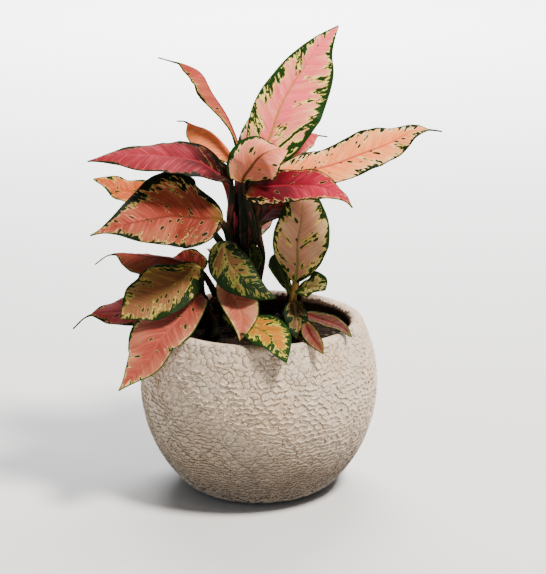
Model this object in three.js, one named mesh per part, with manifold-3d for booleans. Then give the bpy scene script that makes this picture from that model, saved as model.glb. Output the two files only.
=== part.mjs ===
// A Chinese evergreen in a round crackle-glazed pot: pot, potting soil, four leafy canes and their leaves.
// Millimetres, +Z up. The origin is the centre of the pot's flat base, and the plant is seen from -Y.
import * as THREE from "three";
import { mergeVertices } from "three/addons/utils/BufferGeometryUtils.js";
import Module from "manifold-3d";

const wasm = await Module();
wasm.setup();

// Driving dimensions of the pot, an egg standing on its cut-off end, open above with a rounded lip
const POT_RADIUS = 75;
const POT_HALF_HEIGHT = 83; // of the whole egg
const POT_CENTRE_Z = 69; // the egg's centre above the flat base
const POT_WALL = 8.5;
const POT_FLOOR = 9;
const FOOT_RADIUS = 36; // of the flat base
const FOOT_ROUNDING = 6; // the height over which it rounds into the egg
const LIP_CENTRE_Z = 106.25; // the lip is a half round as thick as the wall
const POT_SIDES = 40;

// Driving dimensions of the soil
const SOIL_TOP = 96;
const SOIL_MOUND = 4; // how far it heaps up in the middle
const SOIL_LUMPS = 1.3;
const SOIL_GAP = 0.9; // clear space between the soil and the pot's wall
const SOIL_SIDES = 24;

// Driving dimensions of the plant
const GAP = 0.35; // clear space between pieces that touch
const BLADE_HALF = 0.35; // half the thickness of a blade
const RIB_HALF_WIDTH = 2.1; // half the width of a leaf stalk and of the midrib that continues it
const SHEATH_HALF_WIDTH = 3.3; // the same where the stalk clasps the cane
const STALK_STATIONS = 2; // for each span of the stalk
const BLADE_STATIONS = 12;
const ACROSS = [-1, -0.55, 0, 0.55, 1]; // columns of points from margin to margin
const CANE_SIDES = 10;
const CANE_STATIONS = 12;

const vector = (p) => new THREE.Vector3(...p);
const curveThrough = (points) => new THREE.CatmullRomCurve3(points.map(vector), false, "centripetal");
const mix = (a, b, share) => a + (b - a) * share;
const radians = THREE.MathUtils.degToRad;

// ---- solids ----

// A BufferGeometry as a manifold-3d solid.
function solidOf(geometry) {
  const bare = geometry.clone();
  bare.deleteAttribute("normal");
  bare.deleteAttribute("uv");
  const merged = mergeVertices(bare, 1e-4);
  return new wasm.Manifold(
    new wasm.Mesh({
      numProp: 3,
      vertProperties: new Float32Array(merged.attributes.position.array),
      triVerts: new Uint32Array(merged.index.array),
    }),
  );
}

// The largest body of a solid, as a BufferGeometry.
function geometryOf(solid) {
  const bodies = solid.decompose().sort((a, b) => b.volume() - a.volume());
  const mesh = bodies[0].getMesh();
  const positions = new Float32Array(mesh.numVert * 3);
  for (let i = 0; i < mesh.numVert; i++) {
    positions.set(mesh.vertProperties.subarray(i * mesh.numProp, i * mesh.numProp + 3), i * 3);
  }
  return new THREE.BufferGeometry()
    .setAttribute("position", new THREE.BufferAttribute(positions, 3))
    .setIndex(new THREE.BufferAttribute(new Uint32Array(mesh.triVerts), 1));
}

// A closed skin over rings of points, each ring counterclockwise as seen looking back along the path.
// mirrored(i) says which quads are split along their other diagonal.
function skin(rings, mirrored = () => false) {
  const size = rings[0].length;
  const positions = rings.flat().flatMap((p) => [p.x, p.y, p.z]);
  const index = [];
  for (let k = 0; k + 1 < rings.length; k++) {
    for (let i = 0; i < size; i++) {
      const a = k * size + i;
      const b = k * size + ((i + 1) % size);
      const c = a + size;
      const d = b + size;
      if (mirrored(i)) index.push(a, b, c, b, d, c);
      else index.push(a, b, d, a, d, c);
    }
  }
  // Each end is closed by strips from one side of its ring to the other.
  const last = (rings.length - 1) * size;
  for (let i = 0; i + 1 < size / 2; i++) {
    const j = size - 1 - i;
    index.push(i, j, i + 1, j, j - 1, i + 1);
    index.push(last + i, last + i + 1, last + j, last + j, last + i + 1, last + j - 1);
  }
  return new THREE.BufferGeometry()
    .setAttribute("position", new THREE.BufferAttribute(new Float32Array(positions), 3))
    .setIndex(index);
}

// ---- pot ----

// Points of the upright ellipse that lies `inset` inside the pot's, in the r, z plane, between two heights.
function eggLine(inset, fromZ, toZ, steps) {
  const tall = POT_HALF_HEIGHT - inset;
  return Array.from({ length: steps + 1 }, (_, i) => {
    const from = Math.asin((fromZ - POT_CENTRE_Z) / tall);
    const to = Math.asin((toZ - POT_CENTRE_Z) / tall);
    const angle = mix(from, to, i / steps);
    return new THREE.Vector2((POT_RADIUS - inset) * Math.cos(angle), POT_CENTRE_Z + tall * Math.sin(angle));
  });
}

// Points of a round of the r, z plane, its angles in degrees from +r towards +z.
function arc(r, z, radius, from, to, steps) {
  return Array.from({ length: steps + 1 }, (_, i) => {
    const angle = radians(mix(from, to, i / steps));
    return new THREE.Vector2(r + radius * Math.cos(angle), z + radius * Math.sin(angle));
  });
}

// A solid turned about the Z axis from an r, z profile that runs from the axis below to the axis above.
function turned(profile, sides) {
  return new THREE.LatheGeometry(profile, sides).rotateX(Math.PI / 2);
}

function potGeometry() {
  const outside = eggLine(0, FOOT_ROUNDING, LIP_CENTRE_Z, 10);
  const inside = eggLine(POT_WALL, LIP_CENTRE_Z, POT_FLOOR, 7);
  const lipR = (outside[outside.length - 1].x + inside[0].x) / 2;
  const lipRadius = (outside[outside.length - 1].x - inside[0].x) / 2;
  const foot = [0, 1 / 3, 2 / 3].map(
    (share) => new THREE.Vector2(mix(FOOT_RADIUS, outside[0].x, share), FOOT_ROUNDING * share ** 1.6),
  );
  const profile = [
    new THREE.Vector2(0, 0),
    ...foot,
    ...outside,
    ...arc(lipR, LIP_CENTRE_Z, lipRadius, 0, 180, 6).slice(1, -1),
    ...inside,
    new THREE.Vector2(0, POT_FLOOR),
  ];
  return turned(profile, POT_SIDES);
}

// ---- soil ----

// The soil's top: a low mound in the middle with lumps.
function soilTop(x, y) {
  const share = Math.min(1, Math.hypot(x, y) / (POT_RADIUS - POT_WALL));
  const lumps = Math.sin(x * 0.31 + 1) * Math.sin(y * 0.27) + Math.sin(x * 0.13 - y * 0.19);
  return SOIL_TOP + SOIL_MOUND * (1 - share * share) + SOIL_LUMPS * lumps * (1 - share ** 4);
}

function soilSolid() {
  const side = eggLine(POT_WALL + SOIL_GAP, POT_FLOOR + GAP, SOIL_TOP, 6);
  const edge = side[side.length - 1].x;
  const rings = [0.84, 0.68, 0.52, 0.36, 0.2].map((share) => new THREE.Vector2(edge * share, SOIL_TOP));
  const profile = [new THREE.Vector2(0, side[0].y), ...side, ...rings, new THREE.Vector2(0, SOIL_TOP)];
  const geometry = turned(profile, SOIL_SIDES);
  const position = geometry.attributes.position;
  for (let i = 0; i < position.count; i++) {
    const [x, y, z] = [position.getX(i), position.getY(i), position.getZ(i)];
    if (z > SOIL_TOP - 0.01 && Math.hypot(x, y) < edge - 0.01) position.setZ(i, soilTop(x, y));
  }
  return solidOf(geometry);
}

// ---- canes ----

// Each cane is a bundle of clasping leaf sheaths: its line from inside the soil to its growing tip,
// and its radius at the bottom and at the top.
const CANES = {
  cane_main: {
    path: [[-10, 4, 84], [-8, 4, 112], [-6, 3, 142], [-8, 1, 172], [-9, 0, 184]],
    radii: [6.6, 4],
  },
  cane_left: { path: [[-26, -3, 84], [-29, -4, 100], [-33, -5, 116], [-35, -6, 126]], radii: [5.2, 3.4] },
  cane_right: { path: [[10, -7, 84], [13, -8, 102], [18, -9, 114], [20, -9, 120]], radii: [5.0, 3.2] },
  cane_rear: { path: [[-20, 24, 84], [-22, 28, 104], [-24, 31, 116], [-25, 33, 125]], radii: [5.2, 3.4] },
};
const NODE_RINGS = 5; // leaf scars along a cane
const RING_SWELL = 0.07;

function caneSolid({ path, radii }, extra = 0) {
  const curve = curveThrough(path);
  const rings = [];
  for (let k = 0; k <= CANE_STATIONS; k++) {
    const u = k / CANE_STATIONS;
    const centre = curve.getPointAt(u);
    const along = curve.getTangentAt(u);
    const across = new THREE.Vector3(1, 0, 0).addScaledVector(along, -along.x).normalize();
    const away = new THREE.Vector3().crossVectors(along, across);
    const tipRounding = Math.sqrt(1 - Math.max(0, (u - 0.8) / 0.2) ** 3 * 0.75);
    const swell = 1 + RING_SWELL * Math.cos(2 * Math.PI * NODE_RINGS * u);
    const radius = mix(...radii, u) * tipRounding * swell + extra;
    rings.push(
      Array.from({ length: CANE_SIDES }, (_, i) => {
        const angle = (2 * Math.PI * i) / CANE_SIDES;
        return centre
          .clone()
          .addScaledVector(across, radius * Math.cos(angle))
          .addScaledVector(away, radius * Math.sin(angle));
      }),
    );
  }
  return solidOf(skin(rings));
}

// ---- leaves ----

// Each leaf, its left and right as seen from above with the tip ahead:
// stalk, midrib: the line of its stalk from the cane, and of its midrib from the blade's base to the tip
// half: the half width left and right; widest: the share of the length where each half is widest
// tail: the share of the length where the drawn-out tip begins; taper: how sharply the blade tapers to it
// face: the way the upper face looks, at the base and at the tip
// fold: the angle each half folds up from the midrib, at the base and at the tip; curl: the same, added
// towards the margins; wave: the height of the waves along the margins; tone: the blade's main colour
const LEAVES = {
  leaf_crown_1: {
    stalk: [[-6, 7, 166], [-5, 8, 186]],
    midrib: [[-2, 10, 208], [6, 13, 222], [13, 17, 241], [20, 21, 254], [30, 25, 269], [38, 29, 280],
      [50, 34, 291]],
    half: [15.5, 25.5], widest: [0.32, 0.42], tail: 1, taper: 1.15,
    face: [[0.1, -1, 0.1], [0.3, -1, 0.2]], fold: [10, 0], curl: -6, wave: 1,
    tone: "pink",
  },
  leaf_crown_2: {
    stalk: [[-10, 6, 162], [-11, 9, 188]],
    midrib: [[-12, 12, 216], [-19, 16, 236], [-29, 20, 251], [-36, 23, 263], [-46, 25, 268], [-55, 27, 270],
      [-63, 28, 272]],
    half: [8, 9], widest: [0.6, 0.6], tail: 0.74, taper: 1.15,
    face: [[0.7, -0.4, 0.5], [0.6, -0.4, 0.9]], fold: [-30, -40], curl: -20, wave: 0.4,
    tone: "salmon",
  },
  leaf_crown_3: {
    stalk: [[-12, 5, 154], [-14, 11, 180]],
    midrib: [[-14, 16, 204], [-23, 22, 218], [-33, 26, 226], [-42, 29, 229], [-47, 31, 231], [-52, 32, 231]],
    half: [15, 12], widest: [0.5, 0.5], tail: 0.72, taper: 1.15,
    face: [[0.6, -0.4, 0.8], [0, -0.5, 1]], fold: [-20, -35], curl: -20, wave: 0.4,
    tone: "orange",
  },
  leaf_crown_4: {
    stalk: [[-13, -1, 150], [-18, -4, 172]],
    midrib: [[-17, -8, 199], [-26, -14, 207], [-36, -20, 215], [-50, -26, 219], [-65, -32, 222],
      [-80, -37, 223], [-92, -40, 222], [-102, -42, 220]],
    half: [17, 12], widest: [0.4, 0.3], tail: 1, taper: 1.6,
    face: [[0.3, -0.5, 0.8], [0.1, -0.5, 0.9]], fold: [30, -10], curl: -12, wave: 1,
    tone: "crimson",
  },
  leaf_crown_5: {
    stalk: [[-8, -4, 168], [-9, -7, 184]],
    midrib: [[-10, -10, 201], [-5, -15, 210], [0, -18, 217], [5, -20, 221], [11, -20, 223], [18, -18, 222]],
    half: [15, 18], widest: [0.32, 0.55], tail: 1, taper: 0.9,
    face: [[0.2, -1, 0.3], [0, -0.3, 1]], fold: [14, -25], curl: 0, wave: 0.8,
    tone: "pink",
  },
  leaf_crown_6: {
    stalk: [[-3, 2, 160], [-1, 3, 180]],
    midrib: [[6, 4, 197], [26, 6, 203], [45, 8, 207], [65, 11, 214], [84, 14, 221], [96, 16, 227],
      [106, 17, 228], [115, 17, 227]],
    half: [14, 13], widest: [0.42, 0.42], tail: 0.86, taper: 1.15,
    face: [[0, -0.75, 0.7], [-0.1, -0.7, 0.8]], fold: [6, 0], curl: -6, wave: 2,
    tone: "salmon",
  },
  leaf_crown_7: {
    stalk: [[-5, -4, 156], [-4, -9, 174]],
    midrib: [[-7, -14, 196], [7, -21, 200], [22, -27, 202], [36, -33, 203], [46, -37, 200], [53, -39, 196],
      [57, -40, 191]],
    half: [13, 19], widest: [0.3, 0.22], tail: 1, taper: 2.2,
    face: [[0, -0.5, 0.9], [0.2, -0.6, 0.7]], fold: [16, 0], curl: -10, wave: 1,
    tone: "crimson",
  },
  leaf_crown_8: {
    stalk: [[-4, 6, 156], [0, 12, 178]],
    midrib: [[1, 18, 203], [8, 24, 214], [17, 31, 220], [26, 37, 222], [35, 40, 221], [39, 41, 220],
      [44, 42, 219]],
    half: [8, 15], widest: [0.45, 0.45], tail: 0.8, taper: 1,
    face: [[-0.4, -0.6, 0.9], [0, -0.5, 1]], fold: [-10, -30], curl: -16, wave: 0.4,
    tone: "pink",
  },
  leaf_crown_9: {
    stalk: [[-8, 8, 160], [-9, 18, 182]],
    midrib: [[-6, 30, 202], [2, 48, 219], [11, 64, 228], [19, 79, 230], [26, 94, 226]],
    half: [14, 14], widest: [0.36, 0.36], tail: 1, taper: 1.15,
    face: [[-0.2, -0.7, 0.9], [0, -0.2, 1]], fold: [12, 6], curl: -8, wave: 1.5,
    tone: "pink",
  },
  leaf_crown_10: {
    stalk: [[-12, 6, 144], [-16, 13, 168]],
    midrib: [[-22, 22, 194], [-42, 36, 204], [-60, 52, 207], [-76, 65, 203], [-90, 76, 193]],
    half: [18, 18], widest: [0.36, 0.36], tail: 1, taper: 1.15,
    face: [[0.3, -0.3, 0.9], [-0.1, 0.1, 1]], fold: [14, 6], curl: -8, wave: 1.5,
    tone: "crimson",
  },
  leaf_crown_11: {
    stalk: [[-4, 9, 148], [-4, 21, 168]],
    midrib: [[2, 37, 186], [15, 53, 197], [29, 68, 201], [42, 81, 198], [52, 92, 190]],
    half: [17, 17], widest: [0.36, 0.36], tail: 1, taper: 1.15,
    face: [[-0.3, -0.3, 0.9], [0.2, 0.1, 1]], fold: [14, 6], curl: -8, wave: 1.5,
    tone: "salmon",
  },
  leaf_middle_1: {
    stalk: [[-12, -3, 134], [-17, -7, 156]],
    midrib: [[-23, -12, 176], [-36, -22, 180], [-51, -32, 184], [-65, -41, 184], [-78, -48, 183],
      [-90, -53, 181], [-100, -57, 178]],
    half: [20.5, 27.5], widest: [0.34, 0.3], tail: 1, taper: 2.2,
    face: [[0.1, -0.9, 0.6], [-0.1, -0.9, 0.6]], fold: [10, 0], curl: -6, wave: 1.4,
    tone: "salmon",
  },
  leaf_middle_2: {
    stalk: [[-13, 4, 138], [-26, 9, 160]],
    midrib: [[-44, 14, 176], [-63, 20, 180], [-77, 25, 184], [-89, 29, 187], [-97, 31, 191],
      [-106, 33, 193]],
    half: [8, 11], widest: [0.36, 0.36], tail: 1, taper: 1.15,
    face: [[0.2, -0.7, 0.7], [0.2, -0.8, 0.7]], fold: [8, 0], curl: -6, wave: 1.6,
    tone: "orange",
  },
  leaf_middle_3: {
    stalk: [[-8, -5, 126], [-11, -12, 144]],
    midrib: [[-20, -20, 165], [-20, -29, 158], [-15, -37, 151], [-8, -42, 146], [1, -45, 140],
      [11, -46, 136]],
    half: [11.5, 12], widest: [0.36, 0.36], tail: 1, taper: 1.15,
    face: [[-0.2, -0.7, 0.8], [-0.3, -0.8, 0.7]], fold: [4, 0], curl: -16, wave: 1,
    tone: "green",
  },
  leaf_middle_4: {
    stalk: [[-1, 5, 132], [2, 7, 148]],
    midrib: [[0, 12, 167], [6, 20, 174], [15, 28, 179], [24, 35, 183], [34, 41, 186], [45, 46, 187]],
    half: [12, 13], widest: [0.45, 0.45], tail: 1, taper: 1.15,
    face: [[-0.3, -0.6, 0.8], [-0.1, -0.5, 0.9]], fold: [10, 0], curl: -8, wave: 1,
    tone: "crimson",
  },
  leaf_middle_5: {
    stalk: [[-13, 7, 126], [-19, 14, 144]],
    midrib: [[-28, 22, 160], [-46, 38, 168], [-64, 54, 168], [-80, 68, 161], [-92, 78, 150]],
    half: [18, 18], widest: [0.36, 0.36], tail: 1, taper: 1.15,
    face: [[0.3, -0.3, 0.9], [-0.3, 0.3, 0.9]], fold: [12, 6], curl: -10, wave: 1.8,
    tone: "crimson",
  },
  leaf_middle_6: {
    stalk: [[-8, 9, 128], [-8, 18, 142]],
    midrib: [[-8, 32, 152], [-9, 52, 157], [-11, 74, 152], [-12, 92, 140], [-13, 105, 124]],
    half: [17, 17], widest: [0.36, 0.36], tail: 1, taper: 1.15,
    face: [[0, -0.3, 0.9], [0, 0.5, 0.8]], fold: [12, 6], curl: -10, wave: 1.8,
    tone: "salmon",
  },
  leaf_middle_7: {
    stalk: [[-2, -2, 134], [-1, -6, 148]],
    midrib: [[-3, -9, 159], [-2, -13, 153], [-3, -16, 147], [-5, -19, 140]],
    half: [4.5, 3.5], widest: [0.4, 0.4], tail: 1, taper: 1.15,
    face: [[0.2, -1, 0.2], [0.2, -1, 0.2]], fold: [0, 0], curl: 0, wave: 0.3,
    tone: "dark",
  },
  leaf_left_1: {
    stalk: [[-33, -9, 112], [-36, -11, 130]],
    midrib: [[-37, -12, 145], [-47, -20, 140], [-58, -28, 135], [-70, -36, 130], [-77, -41, 127],
      [-84, -45, 123]],
    half: [16, 17], widest: [0.42, 0.42], tail: 1, taper: 1.15,
    face: [[-0.1, -0.8, 0.7], [-0.2, -0.9, 0.5]], fold: [14, 4], curl: -4, wave: 1.6,
    tone: "tan",
  },
  leaf_left_2: {
    stalk: [[-35, -1, 114], [-38, -1, 134]],
    midrib: [[-43, 0, 143], [-56, 5, 147], [-70, 9, 148], [-82, 12, 149], [-90, 14, 149], [-97, 15, 147],
      [-105, 16, 141]],
    half: [13, 11], widest: [0.5, 0.5], tail: 0.7, taper: 1.15,
    face: [[0.1, -0.3, 1], [-0.1, -0.3, 1]], fold: [-10, -35], curl: -16, wave: 0.6,
    tone: "crimson",
  },
  leaf_left_3: {
    stalk: [[-34, -1, 104], [-39, 1, 113]],
    midrib: [[-46, 3, 121], [-60, 5, 119], [-75, 7, 115], [-89, 8, 112], [-102, 8, 111], [-111, 8, 108],
      [-119, 6, 101]],
    half: [12.5, 12], widest: [0.5, 0.5], tail: 0.76, taper: 1.15,
    face: [[0, -0.6, 0.8], [-0.2, -0.5, 0.9]], fold: [8, -8], curl: -6, wave: 1,
    tone: "crimson",
  },
  leaf_left_4: {
    stalk: [[-32, -10, 104], [-31, -17, 118]],
    midrib: [[-35, -20, 130], [-48, -34, 120], [-60, -49, 110], [-67, -60, 100], [-76, -66, 92],
      [-84, -70, 85]],
    half: [13, 20.5], widest: [0.3, 0.3], tail: 1, taper: 1.5,
    face: [[-0.3, -0.7, 0.8], [-0.4, -1, 0.3]], fold: [8, 0], curl: -6, wave: 1.2,
    tone: "pink",
  },
  leaf_front_1: {
    stalk: [[-11, -3, 118], [-17, -9, 134]],
    midrib: [[-20, -19, 142], [-18, -28, 137], [-13, -40, 131], [-10, -51, 125], [-10, -58, 120],
      [-11, -62, 114]],
    half: [13, 8.5], widest: [0.36, 0.36], tail: 1, taper: 1.15,
    face: [[-0.2, -0.6, 0.8], [-0.2, -1, 0.4]], fold: [0, 6], curl: 8, wave: 1.4,
    tone: "pink",
  },
  leaf_front_2: {
    stalk: [[-12, -3, 106], [-18, -18, 116]],
    midrib: [[-20, -34, 121], [-10, -46, 121], [0, -57, 120], [8, -66, 117], [13, -73, 112], [17, -78, 105]],
    half: [13, 10], widest: [0.46, 0.46], tail: 1, taper: 1.15,
    face: [[0.1, -0.5, 0.9], [0.3, -0.9, 0.5]], fold: [4, 4], curl: -4, wave: 0.8,
    tone: "tan",
  },
  leaf_right_1: {
    stalk: [[19, -13, 112]],
    midrib: [[23, -18, 139], [24, -19, 152], [24, -20, 164], [26, -20, 176], [27, -17, 187], [29, -10, 195],
      [31, -4, 200]],
    half: [14.5, 18.5], widest: [0.38, 0.38], tail: 1, taper: 1.35,
    face: [[0, -1, 0.2], [0, -1, 0.5]], fold: [12, 4], curl: -8, wave: 1.4,
    tone: "tan",
  },
  leaf_right_2: {
    stalk: [[25, -11, 113]],
    midrib: [[26, -19, 135], [29, -25, 137], [34, -31, 139], [38, -35, 140], [41, -38, 139]],
    half: [9, 9], widest: [0.5, 0.5], tail: 1, taper: 1,
    face: [[-0.2, -0.7, 0.8], [0, -0.7, 0.7]], fold: [14, 10], curl: 10, wave: 0.6,
    tone: "tan",
  },
  leaf_right_3: {
    stalk: [[18, -14, 106]],
    midrib: [[22, -23, 127], [23, -29, 123], [24, -35, 118], [24, -40, 113], [25, -44, 108]],
    half: [6, 7], widest: [0.4, 0.4], tail: 1, taper: 1.15,
    face: [[0, -0.6, 0.8], [0, -1, 0.5]], fold: [10, 6], curl: -6, wave: 0.6,
    tone: "green",
  },
  leaf_right_4: {
    stalk: [[19, -12, 102], [31, -27, 114]],
    midrib: [[29, -44, 119], [31, -51, 116], [34, -57, 113], [37, -62, 110], [39, -66, 107]],
    half: [4, 4], widest: [0.4, 0.4], tail: 1, taper: 1.15,
    face: [[-0.4, -0.5, 0.9], [-0.2, -0.9, 0.6]], fold: [14, 10], curl: 0, wave: 0.4,
    tone: "crimson",
  },
  leaf_right_5: {
    stalk: [[18, -6, 103]],
    midrib: [[28, -8, 114], [37, -18, 115], [45, -27, 115], [52, -36, 114], [57, -44, 111]],
    half: [4.5, 4.5], widest: [0.4, 0.4], tail: 1, taper: 1.15,
    face: [[-0.3, -0.3, 1], [-0.2, -0.5, 0.9]], fold: [12, 10], curl: 0, wave: 0.4,
    tone: "crimson",
  },
  leaf_right_6: {
    stalk: [[20, -4, 110]],
    midrib: [[24, 10, 132], [26, 28, 143], [27, 46, 143], [28, 63, 133], [29, 77, 117]],
    half: [15, 15], widest: [0.36, 0.36], tail: 1, taper: 1.15,
    face: [[0, -0.2, 1], [0.1, 0.7, 0.7]], fold: [12, 6], curl: -8, wave: 1.5,
    tone: "salmon",
  },
  leaf_right_7: {
    stalk: [[15, -8, 108]],
    midrib: [[20, -6, 128], [17, -5, 135], [14, -5, 142], [12, -5, 147], [10, -5, 150], [8, -5, 152]],
    half: [5.5, 4.5], widest: [0.65, 0.65], tail: 1, taper: 0.6,
    face: [[0, -1, 0.3], [0, -1, 0.3]], fold: [8, 4], curl: 4, wave: 0.6,
    tone: "dark",
  },
  leaf_rear_1: {
    stalk: [[-28, 35, 115]],
    midrib: [[-38, 44, 129], [-52, 56, 133], [-66, 67, 127], [-77, 76, 116], [-86, 83, 102]],
    half: [17, 17], widest: [0.36, 0.36], tail: 1, taper: 1.15,
    face: [[0.2, -0.3, 0.9], [-0.5, 0.4, 0.8]], fold: [12, 6], curl: -8, wave: 1.5,
    tone: "green",
  },
  leaf_rear_2: {
    stalk: [[-23, 37, 114]],
    midrib: [[-21, 51, 132], [-19, 70, 136], [-17, 86, 128], [-15, 98, 115], [-14, 107, 99]],
    half: [17, 17], widest: [0.36, 0.36], tail: 1, taper: 1.15,
    face: [[0, -0.3, 0.9], [0, 0.7, 0.7]], fold: [12, 6], curl: -8, wave: 1.5,
    tone: "pink",
  },
  leaf_rear_4: {
    stalk: [[-29, 28, 105]],
    midrib: [[-44, 34, 117], [-58, 44, 119], [-68, 52, 113], [-76, 58, 102], [-82, 62, 89]],
    half: [15, 15], widest: [0.36, 0.36], tail: 1, taper: 1.15,
    face: [[0.1, -0.2, 1], [-0.6, 0.2, 0.8]], fold: [12, 6], curl: -8, wave: 1.5,
    tone: "salmon",
  },
};
const TIP_HALF_WIDTH = 0.9;
const WAVES = 2.6;

// Half the blade's width at the share u of its length: a power curve, and then the drawn-out tip.
function halfWidth(u, half, widest, { tail, taper }) {
  const rise = (taper * widest) / (1 - widest);
  const power = (v) => v ** rise * (1 - v) ** taper;
  const shape = power(Math.min(1, u / tail)) / power(widest);
  return TIP_HALF_WIDTH * (1 - 0.5 * u) * Math.min(1, u * 4) + RIB_HALF_WIDTH * (1 - u) ** 6 + half * shape;
}

// One cross-section: upper points from margin to margin, then the lower points back again.
function section({ centre, along, up, halves, rib, fold, curl, lift, extra }) {
  const right = new THREE.Vector3().crossVectors(along, up);
  const place = (t, side) => {
    const angle = radians(fold + (curl * Math.abs(t)) / 2);
    const reach = Math.abs(t) * halves[t > 0 ? 1 : 0];
    const inRib = Math.min(1, reach / (RIB_HALF_WIDTH + extra));
    const round = rib * Math.sqrt(1 - inRib * inRib);
    const thick = side > 0 ? BLADE_HALF + extra + 0.35 * round * lift.stalk : -BLADE_HALF - extra - round;
    return centre
      .clone()
      .addScaledVector(right, Math.sign(t) * reach * Math.cos(angle))
      .addScaledVector(up, reach * Math.sin(angle) + lift.at(t) + thick);
  };
  return [...ACROSS.map((t) => place(t, 1)), ...[...ACROSS].reverse().map((t) => place(t, -1))];
}

function leafSolid(leaf, extra = 0) {
  const path = [...leaf.stalk, ...leaf.midrib];
  const curve = curveThrough(path);
  const spans = path.length - 1;
  const stalkSpans = leaf.stalk.length;
  const faces = leaf.face.map((f) => vector(f).normalize());
  const frame = (t, u) => {
    const along = curve.getTangent(t);
    const up = faces[0].clone().lerp(faces[1], u);
    up.addScaledVector(along, -up.dot(along)).normalize();
    return { centre: curve.getPoint(t), along, up };
  };
  const rings = [];
  const stalkStations = stalkSpans * STALK_STATIONS;
  for (let k = 0; k < stalkStations; k++) {
    const share = k / stalkStations;
    const half = mix(SHEATH_HALF_WIDTH, RIB_HALF_WIDTH, Math.min(1, share * 1.3));
    const place = frame((share * stalkSpans) / spans, 0);
    const halves = [half + extra, half + extra];
    const lift = { at: () => 0, stalk: 1 };
    rings.push(section({ ...place, halves, rib: half * 0.75, fold: 0, curl: 0, lift, extra }));
  }
  for (let k = 0; k < BLADE_STATIONS; k++) {
    const u = k / (BLADE_STATIONS - 1);
    const halves = leaf.half.map((half, i) => halfWidth(u, half, leaf.widest[i], leaf) + extra);
    const rib = RIB_HALF_WIDTH * 0.75 * (1 - u) ** 1.5;
    const swing = Math.sin(Math.PI * Math.min(1, u * 1.1)) * leaf.wave;
    const at = (t) => swing * t * t * Math.sin(2 * Math.PI * WAVES * u + (t > 0 ? 2 : 0));
    const lift = { at, stalk: Math.max(0, 1 - u * 6) };
    const place = frame((stalkSpans + u * (spans - stalkSpans)) / spans, u);
    rings.push(section({ ...place, halves, rib, fold: mix(...leaf.fold, u), curl: leaf.curl, lift, extra }));
  }
  return solidOf(skin(rings, (i) => i >= ACROSS.length));
}

// ---- assembly ----

const MATERIALS = {
  glaze: new THREE.MeshStandardMaterial({ color: 0xd8cdbf, roughness: 0.85 }),
  soil: new THREE.MeshStandardMaterial({ color: 0x2a1c15, roughness: 1 }),
  cane: new THREE.MeshStandardMaterial({ color: 0x33441f, roughness: 0.6 }),
};
const LEAF_TONES = {
  pink: 0xd39486,
  salmon: 0xc67a66,
  orange: 0xd48a58,
  crimson: 0xa64c50,
  tan: 0xb0905f,
  green: 0x5c6634,
  dark: 0x27341d,
};
for (const [tone, color] of Object.entries(LEAF_TONES)) {
  MATERIALS[tone] = new THREE.MeshStandardMaterial({ color, roughness: 0.45 });
}

const plant = new THREE.Group();

function add(name, geometry, material) {
  const mesh = new THREE.Mesh(geometry, material);
  mesh.name = name;
  plant.add(mesh);
}

add("pot", potGeometry(), MATERIALS.glaze);

const canes = Object.values(CANES).map((cane) => caneSolid(cane));
const caneRooms = Object.values(CANES).map((cane) => caneSolid(cane, GAP));
let soil = soilSolid();
for (const room of caneRooms) soil = soil.subtract(room);
add("soil", geometryOf(soil), MATERIALS.soil);
Object.keys(CANES).forEach((name, i) => add(name, geometryOf(canes[i]), MATERIALS.cane));

// A leaf is cut clear of the canes and of the leaves placed before it, as clasping stalks lie.
const leafRooms = [];
for (const [name, leaf] of Object.entries(LEAVES)) {
  let solid = leafSolid(leaf);
  for (const room of [...caneRooms, ...leafRooms]) solid = solid.subtract(room);
  add(name, geometryOf(solid), MATERIALS[leaf.tone]);
  leafRooms.push(leafSolid(leaf, GAP));
}

export default plant;
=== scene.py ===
import math

import bpy
import numpy as np
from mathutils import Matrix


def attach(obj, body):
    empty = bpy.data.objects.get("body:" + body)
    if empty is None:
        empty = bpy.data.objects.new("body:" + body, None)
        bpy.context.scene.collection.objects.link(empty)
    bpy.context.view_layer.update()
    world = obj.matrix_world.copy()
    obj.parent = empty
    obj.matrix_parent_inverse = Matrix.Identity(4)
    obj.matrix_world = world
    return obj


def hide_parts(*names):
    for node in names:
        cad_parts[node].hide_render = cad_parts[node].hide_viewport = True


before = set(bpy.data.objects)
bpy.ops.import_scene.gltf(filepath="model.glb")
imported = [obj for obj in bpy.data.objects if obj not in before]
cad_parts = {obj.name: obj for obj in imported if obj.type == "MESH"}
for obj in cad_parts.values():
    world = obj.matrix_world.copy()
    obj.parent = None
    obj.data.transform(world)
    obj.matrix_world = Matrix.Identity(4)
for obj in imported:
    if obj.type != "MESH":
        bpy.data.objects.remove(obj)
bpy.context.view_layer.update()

MM = 0.001
TURN = 2 * math.pi
PHASES = 6.28  # the waves' random starts are drawn from 0 to here


# ---------------------------------------------------------------- meshes

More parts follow.
